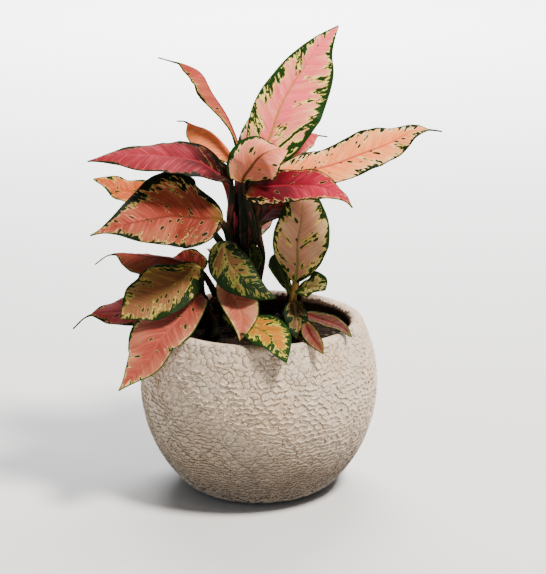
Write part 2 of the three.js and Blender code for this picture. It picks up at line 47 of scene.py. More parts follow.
def put_piece(name, points, quads, triangles, material, slot, nodes, marks=None, smooth=True):
    """One object from points in millimetres and whole arrays of quads and triangles. Marks are named
    values kept at every point, which the materials read."""
    mesh = bpy.data.meshes.new(name)
    corners = np.concatenate([np.ravel(quads), np.ravel(triangles)]).astype(np.int32)
    sides = np.concatenate([np.full(len(quads), 4), np.full(len(triangles), 3)])
    starts = np.concatenate([[0], np.cumsum(sides)[:-1]]).astype(np.int32)
    mesh.vertices.add(len(points))
    mesh.vertices.foreach_set("co", (points * MM).astype(np.float32).ravel())
    mesh.loops.add(len(corners))
    mesh.loops.foreach_set("vertex_index", corners)
    mesh.polygons.add(len(sides))
    mesh.polygons.foreach_set("loop_start", starts)
    mesh.polygons.foreach_set("use_smooth", np.broadcast_to(smooth, len(sides)))
    for mark, values in (marks or {}).items():
        kind, field = ("FLOAT_VECTOR", "vector") if values.ndim == 2 else ("FLOAT", "value")
        layer = mesh.attributes.new(mark, kind, "POINT")
        layer.data.foreach_set(field, values.astype(np.float32).ravel())
    mesh.update(calc_edges=True)
    mesh.validate()
    mesh.materials.append(material)
    piece = bpy.data.objects.new(name, mesh)
    bpy.context.scene.collection.objects.link(piece)
    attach(piece, "root")
    if nodes:
        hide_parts(*nodes)


def fan(ring, middle):
    """Triangles from a middle point to each side of a closed ring of point numbers."""
    return np.stack([np.full(len(ring), middle), ring, np.roll(ring, -1)], -1)


def strips(rings):
    """Quads between neighbouring rings of point numbers, rings[ring, place]."""
    after = np.roll(rings, -1, axis=1)
    return np.stack([rings[:-1], after[:-1], after[1:], rings[1:]], -1).reshape(-1, 4)


def closed_tube(points):
    """Faces over a grid of closed rings, points[ring, place]: quads between neighbouring rings, and a fan
    of triangles to a middle point over each end. Returns the points as a list, quads and triangles."""
    rings, places = points.shape[:2]
    number = np.arange(rings * places).reshape(rings, places)
    middles = points[[0, -1]].mean(axis=1)
    triangles = np.concatenate([fan(number[0], rings * places)[:, [0, 2, 1]],
                                fan(number[-1], rings * places + 1)])
    return np.concatenate([points.reshape(-1, 3), middles]), strips(number), triangles


def unit(vectors):
    """Each vector divided by its length."""
    return vectors / np.linalg.norm(vectors, axis=-1, keepdims=True)


def mix(a, b, share):
    """The value that lies a share of the way from a to b."""
    return a + (b - a) * share


def ramp(values, low, high):
    """0 below low, 1 above high, and an S-shaped cubic between them."""
    share = np.clip((values - low) / (high - low), 0, 1)
    return share * share * (3 - 2 * share)


def walked(points):
    """The distance walked along a line of points, at each of them."""
    return np.concatenate([[0], np.cumsum(np.linalg.norm(np.diff(points, axis=0), axis=1))])


def smooth_path(stops, shares):
    """Places and unit directions along a smooth curve through the stops, at shares from 0 to 1. Each span
    between two stops is a cubic. Its slope at a stop weighs the directions to the stops on either side by
    the square roots of their distances."""
    stops = np.asarray(stops, float)
    ends = np.concatenate([[2 * stops[0] - stops[1]], stops, [2 * stops[-1] - stops[-2]]])
    spans = len(stops) - 1
    place = np.clip(shares, 0, 1) * spans
    span = np.minimum(place.astype(int), spans - 1)
    w = (place - span)[:, None]
    p0, p1, p2, p3 = (ends[span + k] for k in range(4))
    d0, d1, d2 = (np.sqrt(np.linalg.norm(b - a, axis=1))[:, None] for a, b in ((p0, p1), (p1, p2), (p2, p3)))
    slope1 = ((p1 - p0) / d0 - (p2 - p0) / (d0 + d1) + (p2 - p1) / d1) * d1
    slope2 = ((p2 - p1) / d1 - (p3 - p1) / (d1 + d2) + (p3 - p2) / d2) * d1
    c2 = -3 * p1 + 3 * p2 - 2 * slope1 - slope2
    c3 = 2 * p1 - 2 * p2 + slope1 + slope2
    return p1 + slope1 * w + c2 * w**2 + c3 * w**3, unit(slope1 + 2 * c2 * w + 3 * c3 * w**2)


# ---------------------------------------------------------------- leaves

STALK_RINGS = 16
BLADE_RINGS = 100
HALF_ACROSS = np.array([0, .03, .06, .095, .14, .2, .27, .35, .43, .51, .59, .67, .75, .82, .89, .95, 1])
ACROSS = np.concatenate([-HALF_ACROSS[:0:-1], HALF_ACROSS])
SHEATH_HALF, RIB_HALF, RIB_FLATNESS = 3.3, 2.1, 0.75
WAVES = TURN * 2.6  # the long waves along a margin, in radians from base to tip
SWELLING, CALM_WAVE = 0.1, 1.3  # half widths swell by this share for each mm of wave past the calm one
RUFFLE, RUFFLE_PACE = 0.45, 2.6  # height of a margin's short waves, and their millimetres to a radian
RUFFLE_DRIFT, DRIFT_PACE = 1.3, 7  # how far those waves drift to and fro in radians, and at what pace
THREAD_HALF, THREAD_LOSS = 1.05, 0.42  # a blade's least half width, and the share lost by the tip
VEIN_PITCH = 7.0  # distance between side veins
VEIN_SLANT = 0.9  # how far a side vein runs forward for each millimetre outward
VEIN_PUFF = 0.16  # how high the blade puffs between side veins
CHANNEL_DEPTH, CHANNEL_HALF = 0.3, 0.9
EDGE_HALF_THICK, HEART_HALF_THICK = 0.1, 0.24
STALK_FACE = 0.35  # how round a stalk's face is, beside its back
STALK_EDGE = 3  # distance from the margin that a stalk's points are given, which keeps it plain


def form(stalk, midrib, half, face, widest=0.36, tail=1, taper=1.15, fold=(12, 6), curl=-8, wave=1.5):
    """One leaf's shape, in millimetres and degrees: the points of its stalk and of its midrib, the greatest
    half widths to either side and the shares of the length where they lie, the way its face looks at the
    base and at the tip, the share where a thin drip tip starts, how slender its end is, its fold at the base
    and at the tip, how much its halves curl, and how high its margins wave."""
    def pair(value):
        return value if isinstance(value, tuple) else (value, value)
    return dict(stalk=stalk, midrib=midrib, half=pair(half), face=face, widest=pair(widest), tail=tail,
                taper=taper, fold=fold, curl=curl, wave=wave)


LEAVES = {
    "crown_1": form(
        stalk=((-6, 7, 166), (-5, 8, 186)),
        midrib=((-2, 10, 208), (6, 13, 222), (13, 17, 241), (20, 21, 254), (30, 25, 269), (38, 29, 280),
                (50, 34, 291)),
        half=(15.5, 25.5), face=((0.1, -1, 0.1), (0.3, -1, 0.2)), widest=(0.32, 0.42), fold=(10, 0),
        curl=-6, wave=1),
    "crown_2": form(
        stalk=((-10, 6, 162), (-11, 9, 188)),
        midrib=((-12, 12, 216), (-19, 16, 236), (-29, 20, 251), (-36, 23, 263), (-46, 25, 268),
                (-55, 27, 270), (-63, 28, 272)),
        half=(8, 9), face=((0.7, -0.4, 0.5), (0.6, -0.4, 0.9)), widest=0.6, tail=0.74, fold=(-30, -40),
        curl=-20, wave=0.4),
    "crown_3": form(
        stalk=((-12, 5, 154), (-14, 11, 180)),
        midrib=((-14, 16, 204), (-23, 22, 218), (-33, 26, 226), (-42, 29, 229), (-47, 31, 231),
                (-52, 32, 231)),
        half=(15, 12), face=((0.6, -0.4, 0.8), (0, -0.5, 1)), widest=0.5, tail=0.72, fold=(-20, -35),
        curl=-20, wave=0.4),
    "crown_4": form(
        stalk=((-13, -1, 150), (-18, -4, 172)),
        midrib=((-17, -8, 199), (-26, -14, 207), (-36, -20, 215), (-50, -26, 219), (-65, -32, 222),
                (-80, -37, 223), (-92, -40, 222), (-102, -42, 220)),
        half=(17, 12), face=((0.3, -0.5, 0.8), (0.1, -0.5, 0.9)), widest=(0.4, 0.3), taper=1.6,
        fold=(30, -10), curl=-12, wave=1),
    "crown_5": form(
        stalk=((-8, -4, 168), (-9, -7, 184)),
        midrib=((-10, -10, 201), (-5, -15, 210), (0, -18, 217), (5, -20, 221), (11, -20, 223),
                (18, -18, 222)),
        half=(15, 18), face=((0.2, -1, 0.3), (0, -0.3, 1)), widest=(0.32, 0.55), taper=0.9, fold=(14, -25),
        curl=0, wave=0.8),
    "crown_6": form(
        stalk=((-3, 2, 160), (-1, 3, 180)),
        midrib=((6, 4, 197), (26, 6, 203), (45, 8, 207), (65, 11, 214), (84, 14, 221), (96, 16, 227),
                (106, 17, 228), (115, 17, 227)),
        half=(14, 13), face=((0, -0.75, 0.7), (-0.1, -0.7, 0.8)), widest=0.42, tail=0.86, fold=(6, 0),
        curl=-6, wave=2),
    "crown_7": form(
        stalk=((-5, -4, 156), (-4, -9, 174)),
        midrib=((-7, -14, 196), (7, -21, 200), (22, -27, 202), (36, -33, 203), (46, -37, 200),
                (53, -39, 196), (57, -40, 191)),
        half=(13, 19), face=((0, -0.5, 0.9), (0.2, -0.6, 0.7)), widest=(0.3, 0.22), taper=2.2, fold=(16, 0),
        curl=-10, wave=1),
    "crown_8": form(
        stalk=((-4, 6, 156), (0, 12, 178)),
        midrib=((1, 18, 203), (8, 24, 214), (17, 31, 220), (26, 37, 222), (35, 40, 221), (39, 41, 220),
                (44, 42, 219)),
        half=(8, 15), face=((-0.4, -0.6, 0.9), (0, -0.5, 1)), widest=0.45, tail=0.8, taper=1,
        fold=(-10, -30), curl=-16, wave=0.4),
    "crown_9": form(
        stalk=((-8, 8, 160), (-9, 18, 182)),
        midrib=((-6, 30, 202), (2, 48, 219), (11, 64, 228), (19, 79, 230), (26, 94, 226)),
        half=14, face=((-0.2, -0.7, 0.9), (0, -0.2, 1))),
    "crown_10": form(
        stalk=((-12, 6, 144), (-16, 13, 168)),
        midrib=((-22, 22, 194), (-42, 36, 204), (-60, 52, 207), (-76, 65, 203), (-90, 76, 193)),
        half=18, face=((0.3, -0.3, 0.9), (-0.1, 0.1, 1)), fold=(14, 6)),
    "crown_11": form(
        stalk=((-4, 9, 148), (-4, 21, 168)),
        midrib=((2, 37, 186), (15, 53, 197), (29, 68, 201), (42, 81, 198), (52, 92, 190)),
        half=17, face=((-0.3, -0.3, 0.9), (0.2, 0.1, 1)), fold=(14, 6)),
    "middle_1": form(
        stalk=((-12, -3, 134), (-17, -7, 156)),
        midrib=((-23, -12, 176), (-36, -22, 180), (-51, -32, 184), (-65, -41, 184), (-78, -48, 183),
                (-90, -53, 181), (-100, -57, 178)),
        half=(20.5, 27.5), face=((0.1, -0.9, 0.6), (-0.1, -0.9, 0.6)), widest=(0.34, 0.3), taper=2.2,
        fold=(10, 0), curl=-6, wave=1.4),
    "middle_2": form(
        stalk=((-13, 4, 138), (-26, 9, 160)),
        midrib=((-44, 14, 176), (-63, 20, 180), (-77, 25, 184), (-89, 29, 187), (-97, 31, 191),
                (-106, 33, 193)),
        half=(8, 11), face=((0.2, -0.7, 0.7), (0.2, -0.8, 0.7)), fold=(8, 0), curl=-6, wave=1.6),
    "middle_3": form(
        stalk=((-8, -5, 126), (-11, -12, 144)),
        midrib=((-20, -20, 165), (-20, -29, 158), (-15, -37, 151), (-8, -42, 146), (1, -45, 140),
                (11, -46, 136)),
        half=(11.5, 12), face=((-0.2, -0.7, 0.8), (-0.3, -0.8, 0.7)), fold=(4, 0), curl=-16, wave=1),
    "middle_4": form(
        stalk=((-1, 5, 132), (2, 7, 148)),
        midrib=((0, 12, 167), (6, 20, 174), (15, 28, 179), (24, 35, 183), (34, 41, 186), (45, 46, 187)),
        half=(12, 13), face=((-0.3, -0.6, 0.8), (-0.1, -0.5, 0.9)), widest=0.45, fold=(10, 0), wave=1),
    "middle_5": form(
        stalk=((-13, 7, 126), (-19, 14, 144)),
        midrib=((-28, 22, 160), (-46, 38, 168), (-64, 54, 168), (-80, 68, 161), (-92, 78, 150)),
        half=18, face=((0.3, -0.3, 0.9), (-0.3, 0.3, 0.9)), curl=-10, wave=1.8),
    "middle_6": form(
        stalk=((-8, 9, 128), (-8, 18, 142)),
        midrib=((-8, 32, 152), (-9, 52, 157), (-11, 74, 152), (-12, 92, 140), (-13, 105, 124)),
        half=17, face=((0, -0.3, 0.9), (0, 0.5, 0.8)), curl=-10, wave=1.8),
    "middle_7": form(
        stalk=((-2, -2, 134), (-1, -6, 148)),
        midrib=((-3, -9, 159), (-2, -13, 153), (-3, -16, 147), (-5, -19, 140)),
        half=(4.5, 3.5), face=((0.2, -1, 0.2), (0.2, -1, 0.2)), widest=0.4, fold=(0, 0), curl=0, wave=0.3),
    "left_1": form(
        stalk=((-33, -9, 112), (-36, -11, 130)),
        midrib=((-37, -12, 145), (-47, -20, 140), (-58, -28, 135), (-70, -36, 130), (-77, -41, 127),
                (-84, -45, 123)),
        half=(16, 17), face=((-0.1, -0.8, 0.7), (-0.2, -0.9, 0.5)), widest=0.42, fold=(14, 4), curl=-4,
        wave=1.6),
    "left_2": form(
        stalk=((-35, -1, 114), (-38, -1, 134)),
        midrib=((-43, 0, 143), (-56, 5, 147), (-70, 9, 148), (-82, 12, 149), (-90, 14, 149), (-97, 15, 147),
                (-105, 16, 141)),
        half=(13, 11), face=((0.1, -0.3, 1), (-0.1, -0.3, 1)), widest=0.5, tail=0.7, fold=(-10, -35),
        curl=-16, wave=0.6),
    "left_3": form(
        stalk=((-34, -1, 104), (-39, 1, 113)),
        midrib=((-46, 3, 121), (-60, 5, 119), (-75, 7, 115), (-89, 8, 112), (-102, 8, 111), (-111, 8, 108),
                (-119, 6, 101)),
        half=(12.5, 12), face=((0, -0.6, 0.8), (-0.2, -0.5, 0.9)), widest=0.5, tail=0.76, fold=(8, -8),
        curl=-6, wave=1),
    "left_4": form(
        stalk=((-32, -10, 104), (-31, -17, 118)),
        midrib=((-35, -20, 130), (-48, -34, 120), (-60, -49, 110), (-67, -60, 100), (-76, -66, 92),
                (-84, -70, 85)),
        half=(13, 20.5), face=((-0.3, -0.7, 0.8), (-0.4, -1, 0.3)), widest=0.3, taper=1.5, fold=(8, 0),
        curl=-6, wave=1.2),
    "front_1": form(
        stalk=((-11, -3, 118), (-17, -9, 134)),
        midrib=((-20, -19, 142), (-18, -28, 137), (-13, -40, 131), (-10, -51, 125), (-10, -58, 120),
                (-11, -62, 114)),
        half=(13, 8.5), face=((-0.2, -0.6, 0.8), (-0.2, -1, 0.4)), fold=(0, 6), curl=8, wave=1.4),
    "front_2": form(
        stalk=((-12, -3, 106), (-18, -18, 116)),
        midrib=((-20, -34, 121), (-10, -46, 121), (0, -57, 120), (8, -66, 117), (13, -73, 112),
                (17, -78, 105)),
        half=(13, 10), face=((0.1, -0.5, 0.9), (0.3, -0.9, 0.5)), widest=0.46, fold=(4, 4), curl=-4,
        wave=0.8),
    "right_1": form(
        stalk=((19, -13, 112),),
        midrib=((23, -18, 139), (24, -19, 152), (24, -20, 164), (26, -20, 176), (27, -17, 187),
                (29, -10, 195), (31, -4, 200)),
        half=(14.5, 18.5), face=((0, -1, 0.2), (0, -1, 0.5)), widest=0.38, taper=1.35, fold=(12, 4),
        wave=1.4),
    "right_2": form(
        stalk=((25, -11, 113),),
        midrib=((26, -19, 135), (29, -25, 137), (34, -31, 139), (38, -35, 140), (41, -38, 139)),
        half=9, face=((-0.2, -0.7, 0.8), (0, -0.7, 0.7)), widest=0.5, taper=1, fold=(14, 10), curl=10,
        wave=0.6),
    "right_3": form(
        stalk=((18, -14, 106),),
        midrib=((22, -23, 127), (23, -29, 123), (24, -35, 118), (24, -40, 113), (25, -44, 108)),
        half=(6, 7), face=((0, -0.6, 0.8), (0, -1, 0.5)), widest=0.4, fold=(10, 6), curl=-6, wave=0.6),
    "right_4": form(
        stalk=((19, -12, 102), (31, -27, 114)),
        midrib=((29, -44, 119), (31, -51, 116), (34, -57, 113), (37, -62, 110), (39, -66, 107)),
        half=4, face=((-0.4, -0.5, 0.9), (-0.2, -0.9, 0.6)), widest=0.4, fold=(14, 10), curl=0, wave=0.4),
    "right_5": form(
        stalk=((18, -6, 103),),
        midrib=((28, -8, 114), (37, -18, 115), (45, -27, 115), (52, -36, 114), (57, -44, 111)),
        half=4.5, face=((-0.3, -0.3, 1), (-0.2, -0.5, 0.9)), widest=0.4, fold=(12, 10), curl=0, wave=0.4),
    "right_6": form(
        stalk=((20, -4, 110),),
        midrib=((24, 10, 132), (26, 28, 143), (27, 46, 143), (28, 63, 133), (29, 77, 117)),
        half=15, face=((0, -0.2, 1), (0.1, 0.7, 0.7))),
    "right_7": form(
        stalk=((15, -8, 108),),
        midrib=((20, -6, 128), (17, -5, 135), (14, -5, 142), (12, -5, 147), (10, -5, 150), (8, -5, 152)),
        half=(5.5, 4.5), face=((0, -1, 0.3), (0, -1, 0.3)), widest=0.65, taper=0.6, fold=(8, 4), curl=4,
        wave=0.6),
    "rear_1": form(
        stalk=((-28, 35, 115),),
        midrib=((-38, 44, 129), (-52, 56, 133), (-66, 67, 127), (-77, 76, 116), (-86, 83, 102)),
        half=17, face=((0.2, -0.3, 0.9), (-0.5, 0.4, 0.8))),
    "rear_2": form(
        stalk=((-23, 37, 114),),
        midrib=((-21, 51, 132), (-19, 70, 136), (-17, 86, 128), (-15, 98, 115), (-14, 107, 99)),
        half=17, face=((0, -0.3, 0.9), (0, 0.7, 0.7))),
    "rear_4": form(
        stalk=((-29, 28, 105),),
        midrib=((-44, 34, 117), (-58, 44, 119), (-68, 52, 113), (-76, 58, 102), (-82, 62, 89)),
        half=15, face=((0.1, -0.2, 1), (-0.6, 0.2, 0.8))),
}


def blade_half(u, half, widest, tail, taper, ruffle):
    """Half width of a blade at the shares u from its base to its tip, for one side: a power of the share
    times a power of what is left, scaled to the greatest half width and swollen and pinched by the ruffle,
    with a rounded foot as wide as the stalk and a thin tip."""
    v = np.minimum(1, u / tail)
    rise = taper * widest / (1 - widest)
    peak = widest**rise * (1 - widest) ** taper
    shape = np.maximum(v, 0) ** rise * np.maximum(1 - v, 0) ** taper / peak
    thread = THREAD_HALF * (1 - THREAD_LOSS * u) * np.minimum(1, 4 * u)
    return thread + RIB_HALF * (1 - u) ** 6 + half * shape * (1 + ruffle)


def make_leaf(name, leaf, paint, seed):
    """A leaf is a thin closed section carried along its stalk and midrib. The section is a shallow fold
    that curls with the square of the distance from the midrib; its two edges rise and dip in long waves
    and short ruffles; a round rib runs along its back, a narrow channel along its face, and side veins
    puff the blade between them. The face looks along the direction that turns from one given normal to
    the other. At every point the materials get the distance along the leaf from the blade's base, the
    distance from the midrib with its side as a sign, and the distance from the margin, in leaf_mm, and
    the shares of length and half width, and 1 on the face or 0 on the back, in leaf_share."""
    stalk, midrib = leaf["stalk"], leaf["midrib"]
    spans = len(stalk) + len(midrib) - 1
    rng = np.random.default_rng(seed)
    on_stalk = np.linspace(0, 1, STALK_RINGS, endpoint=False)
    on_blade = np.linspace(0, 1, BLADE_RINGS)
    u = np.concatenate([np.zeros(STALK_RINGS), on_blade])[:, None]
    shares = np.concatenate([on_stalk * len(stalk), len(stalk) + on_blade * (spans - len(stalk))]) / spans
    centre, along = smooth_path(stalk + midrib, shares)
    blade = np.concatenate([np.zeros(STALK_RINGS), np.ones(BLADE_RINGS)])[:, None]
    faces = unit(np.asarray(leaf["face"], float))
    normal = mix(faces[0], faces[1], u)
    normal = unit(normal - along * np.sum(normal * along, 1, keepdims=True))
    side = np.cross(along, normal)

    t = ACROSS[None, :]
    right = t > 0
    stalk_half = mix(SHEATH_HALF, RIB_HALF, np.minimum(1, 1.3 * on_stalk))
    swelling = SWELLING * max(0, leaf["wave"] - CALM_WAVE)
    halves = [np.concatenate([stalk_half, blade_half(
        on_blade, leaf["half"][k], leaf["widest"][k], leaf["tail"], leaf["taper"],
        swelling * np.sin(WAVES * on_blade + 2 * k))])[:, None] for k in (0, 1)]
    half = np.where(right, halves[1], halves[0])
    reach = np.abs(t) * half
    angle = np.radians(mix(*leaf["fold"], u) * blade + leaf["curl"] * np.abs(t) / 2 * blade)

    swell = np.sin(math.pi * np.minimum(1, 1.1 * u))
    phase = rng.uniform(0, PHASES, 4)
    run = walked(centre)
    run = (run - run[STALK_RINGS])[:, None]
    lift = leaf["wave"] * swell * t**2 * np.sin(WAVES * u + np.where(right, 2, 0))
    drift = RUFFLE_DRIFT * np.sin(run / DRIFT_PACE + phase[2])
    lift += RUFFLE * swell * np.abs(t) ** 5 * np.sin(
        run / RUFFLE_PACE + np.where(right, phase[0], phase[1]) + drift)
    veins = np.cos(TURN * (run - VEIN_SLANT * reach) / VEIN_PITCH + phase[3])
    lift += VEIN_PUFF * veins * swell * ramp(reach, 1.5, 6) * (1 - ramp(np.abs(t), 0.8, 1))
    channel = -CHANNEL_DEPTH * np.exp(-((reach / CHANNEL_HALF) ** 2)) * (1 - u) * blade

    rib = RIB_FLATNESS * np.concatenate([stalk_half, RIB_HALF * (1 - on_blade) ** 1.5])[:, None]
    rounded = rib * np.sqrt(1 - np.minimum(1, reach / RIB_HALF) ** 2)
    thin = EDGE_HALF_THICK + (HEART_HALF_THICK - EDGE_HALF_THICK) * (1 - t**4)
    face = thin + STALK_FACE * rounded * np.maximum(0, 1 - 6 * u) + channel
    back = -thin - rounded
    out = np.sign(t) * reach * np.cos(angle)
    rise = reach * np.sin(angle) + lift

    def at_height(height):
        return centre[:, None] + side[:, None] * out[..., None] + normal[:, None] * (rise + height)[..., None]

    level = 0 * out
    place = np.stack([run + level, np.sign(t) * reach, np.where(blade > 0, half - reach, STALK_EDGE)], -1)
    share = np.stack([np.concatenate([on_stalk - 1, on_blade])[:, None] + level, t + level, 1 + level], -1)
    marks = {"leaf_mm": np.concatenate([place, place[:, ::-1]], 1),
             "leaf_share": np.concatenate([share, share[:, ::-1] * (1, 1, 0)], 1)}
    marks = {mark: np.concatenate([values.reshape(-1, 3), values[[0, -1]].mean(axis=1)])
             for mark, values in marks.items()}
    points, quads, triangles = closed_tube(np.concatenate([at_height(face), at_height(back)[:, ::-1]], 1))
    put_piece("blade_" + name, points, quads, triangles, leaf_finish(name, paint, seed), paint["slot"],
              ["leaf_" + name], marks)


# ---------------------------------------------------------------- nodes

class Field:
    """A value that changes over a surface: the output of a node. Sums, differences and products of fields
    are Math nodes in the same tree."""

    def __init__(self, socket):
        self.socket = socket

    def __add__(self, other):
        return calc("ADD", self, other)

    def __sub__(self, other):
        return calc("SUBTRACT", self, other)

    def __mul__(self, other):
        return calc("MULTIPLY", self, other)


def feed(value, socket):
    """Links a field to a socket, or sets a constant on it."""
    if isinstance(value, Field):
        socket.id_data.links.new(value.socket, socket)
    else:
        socket.default_value = value


def fields(kind, inputs, tree=None, **settings):
    """The outputs of a new node, in the given tree or in that of the first field among its inputs."""
    if tree is None:
        tree = next(value.socket.id_data for value in inputs.values() if isinstance(value, Field))
    made = tree.nodes.new(kind)
    for key, value in settings.items():
        setattr(made, key, value)
    for key, value in inputs.items():
        feed(value, made.inputs[key])
    return {key: Field(socket) for k, socket in enumerate(made.outputs) for key in (k, socket.name)}


def calc(operation, *values):
    """One Math node over fields and numbers."""
    return fields("ShaderNodeMath", dict(enumerate(values)), operation=operation)[0]


def largest(first, *others):
    """The largest of several fields at each point."""
    for other in others:
        first = calc("MAXIMUM", first, other)
    return first


def split(value, kind="ShaderNodeSeparateXYZ"):
    """The three parts of a vector, or of a colour."""
    parts = fields(kind, {0: value})
    return parts[0], parts[1], parts[2]


def vector(x, y, z):
    """A vector of three fields or numbers."""
    return fields("ShaderNodeCombineXYZ", {0: x, 1: y, 2: z})[0]


def grey(value):
    """The same value in all three parts."""
    return vector(value, value, value)


def grade(value, low, high, to_low=0.0, to_high=1.0, kind="SMOOTHSTEP"):
    """Takes a field's stretch from low to high to another stretch, along an S-shaped or a LINEAR line, and
    holds it at the ends."""
    inputs = {"Value": value, "From Min": low, "From Max": high, "To Min": to_low, "To Max": to_high}
    return fields("ShaderNodeMapRange", inputs, interpolation_type=kind)["Result"]


def blend(share, first, second, kind="MIX"):
    """Two colours mixed, or with kind MULTIPLY the first darkened by the second, by a share."""
    return fields("ShaderNodeMix", {0: share, 6: first, 7: second}, data_type="RGBA", blend_type=kind)[2]


def noise(place, scale, detail=2.0, roughness=0.5, distortion=0.0):
    """Cloudy noise about 0.5."""
    return fields("ShaderNodeTexNoise", {"Vector": place, "Scale": scale, "Detail": detail,
                                         "Roughness": roughness, "Distortion": distortion})[0]


def tint(code):
    """A colour from its hexadecimal code, in the linear values that the nodes use."""
    part = np.array([int(code[k:k + 2], 16) for k in (0, 2, 4)]) / 255
    linear = np.where(part <= 0.04045, part / 12.92, ((part + 0.055) / 1.055) ** 2.4)
    return (*(float(x) for x in linear), 1.0)


def new_group(name, takes, gives):
    """A node group with the named inputs, each with its first value, and the named outputs, each with its
    kind. Returns the group, its inputs as fields, and the sockets that its outputs are fed to."""
    tree = bpy.data.node_groups.new(name, "ShaderNodeTree")
    kinds = {0: "NodeSocketFloat", 3: "NodeSocketVector", 4: "NodeSocketColor"}
    for label, value in takes.items():
        kind = kinds[len(value) if isinstance(value, tuple) else 0]
        tree.interface.new_socket(label, in_out="INPUT", socket_type=kind).default_value = value
    for label, kind in gives.items():
        tree.interface.new_socket(label, in_out="OUTPUT", socket_type="NodeSocket" + kind)
    return tree, fields("NodeGroupInput", {}, tree), tree.nodes.new("NodeGroupOutput").inputs


def attribute(tree, mark, kind):
    """A mark that was kept at the points, read as a vector or as a factor."""
    return fields("ShaderNodeAttribute", {}, tree, attribute_name=mark)[kind]


def object_place(tree):
    """The place on the object, in metres."""
    return fields("ShaderNodeTexCoord", {}, tree)["Object"]


def new_material(name):
    """A material with one Principled shader. Returns it with its tree and the shader's sockets."""
    material = bpy.data.materials.new(name)
    material.use_nodes = True
    tree = material.node_tree
    tree.nodes.clear()
    shader = tree.nodes.new("ShaderNodeBsdfPrincipled")
    tree.links.new(shader.outputs[0], tree.nodes.new("ShaderNodeOutputMaterial").inputs[0])
    return material, tree, shader.inputs


def finish(sockets, color, roughness, height, strength, depth, gloss=0.5):
    """Feeds a shader its colour and roughness, a bump of a depth in metres, and its specular level."""
    feed(color, sockets["Base Color"])
    feed(roughness, sockets["Roughness"])
    bump = fields("ShaderNodeBump", {"Strength": strength, "Distance": depth, "Height": height})
    feed(bump["Normal"], sockets["Normal"])
    sockets["Specular IOR Level"].default_value = gloss


# ---------------------------------------------------------------- skin of the leaves

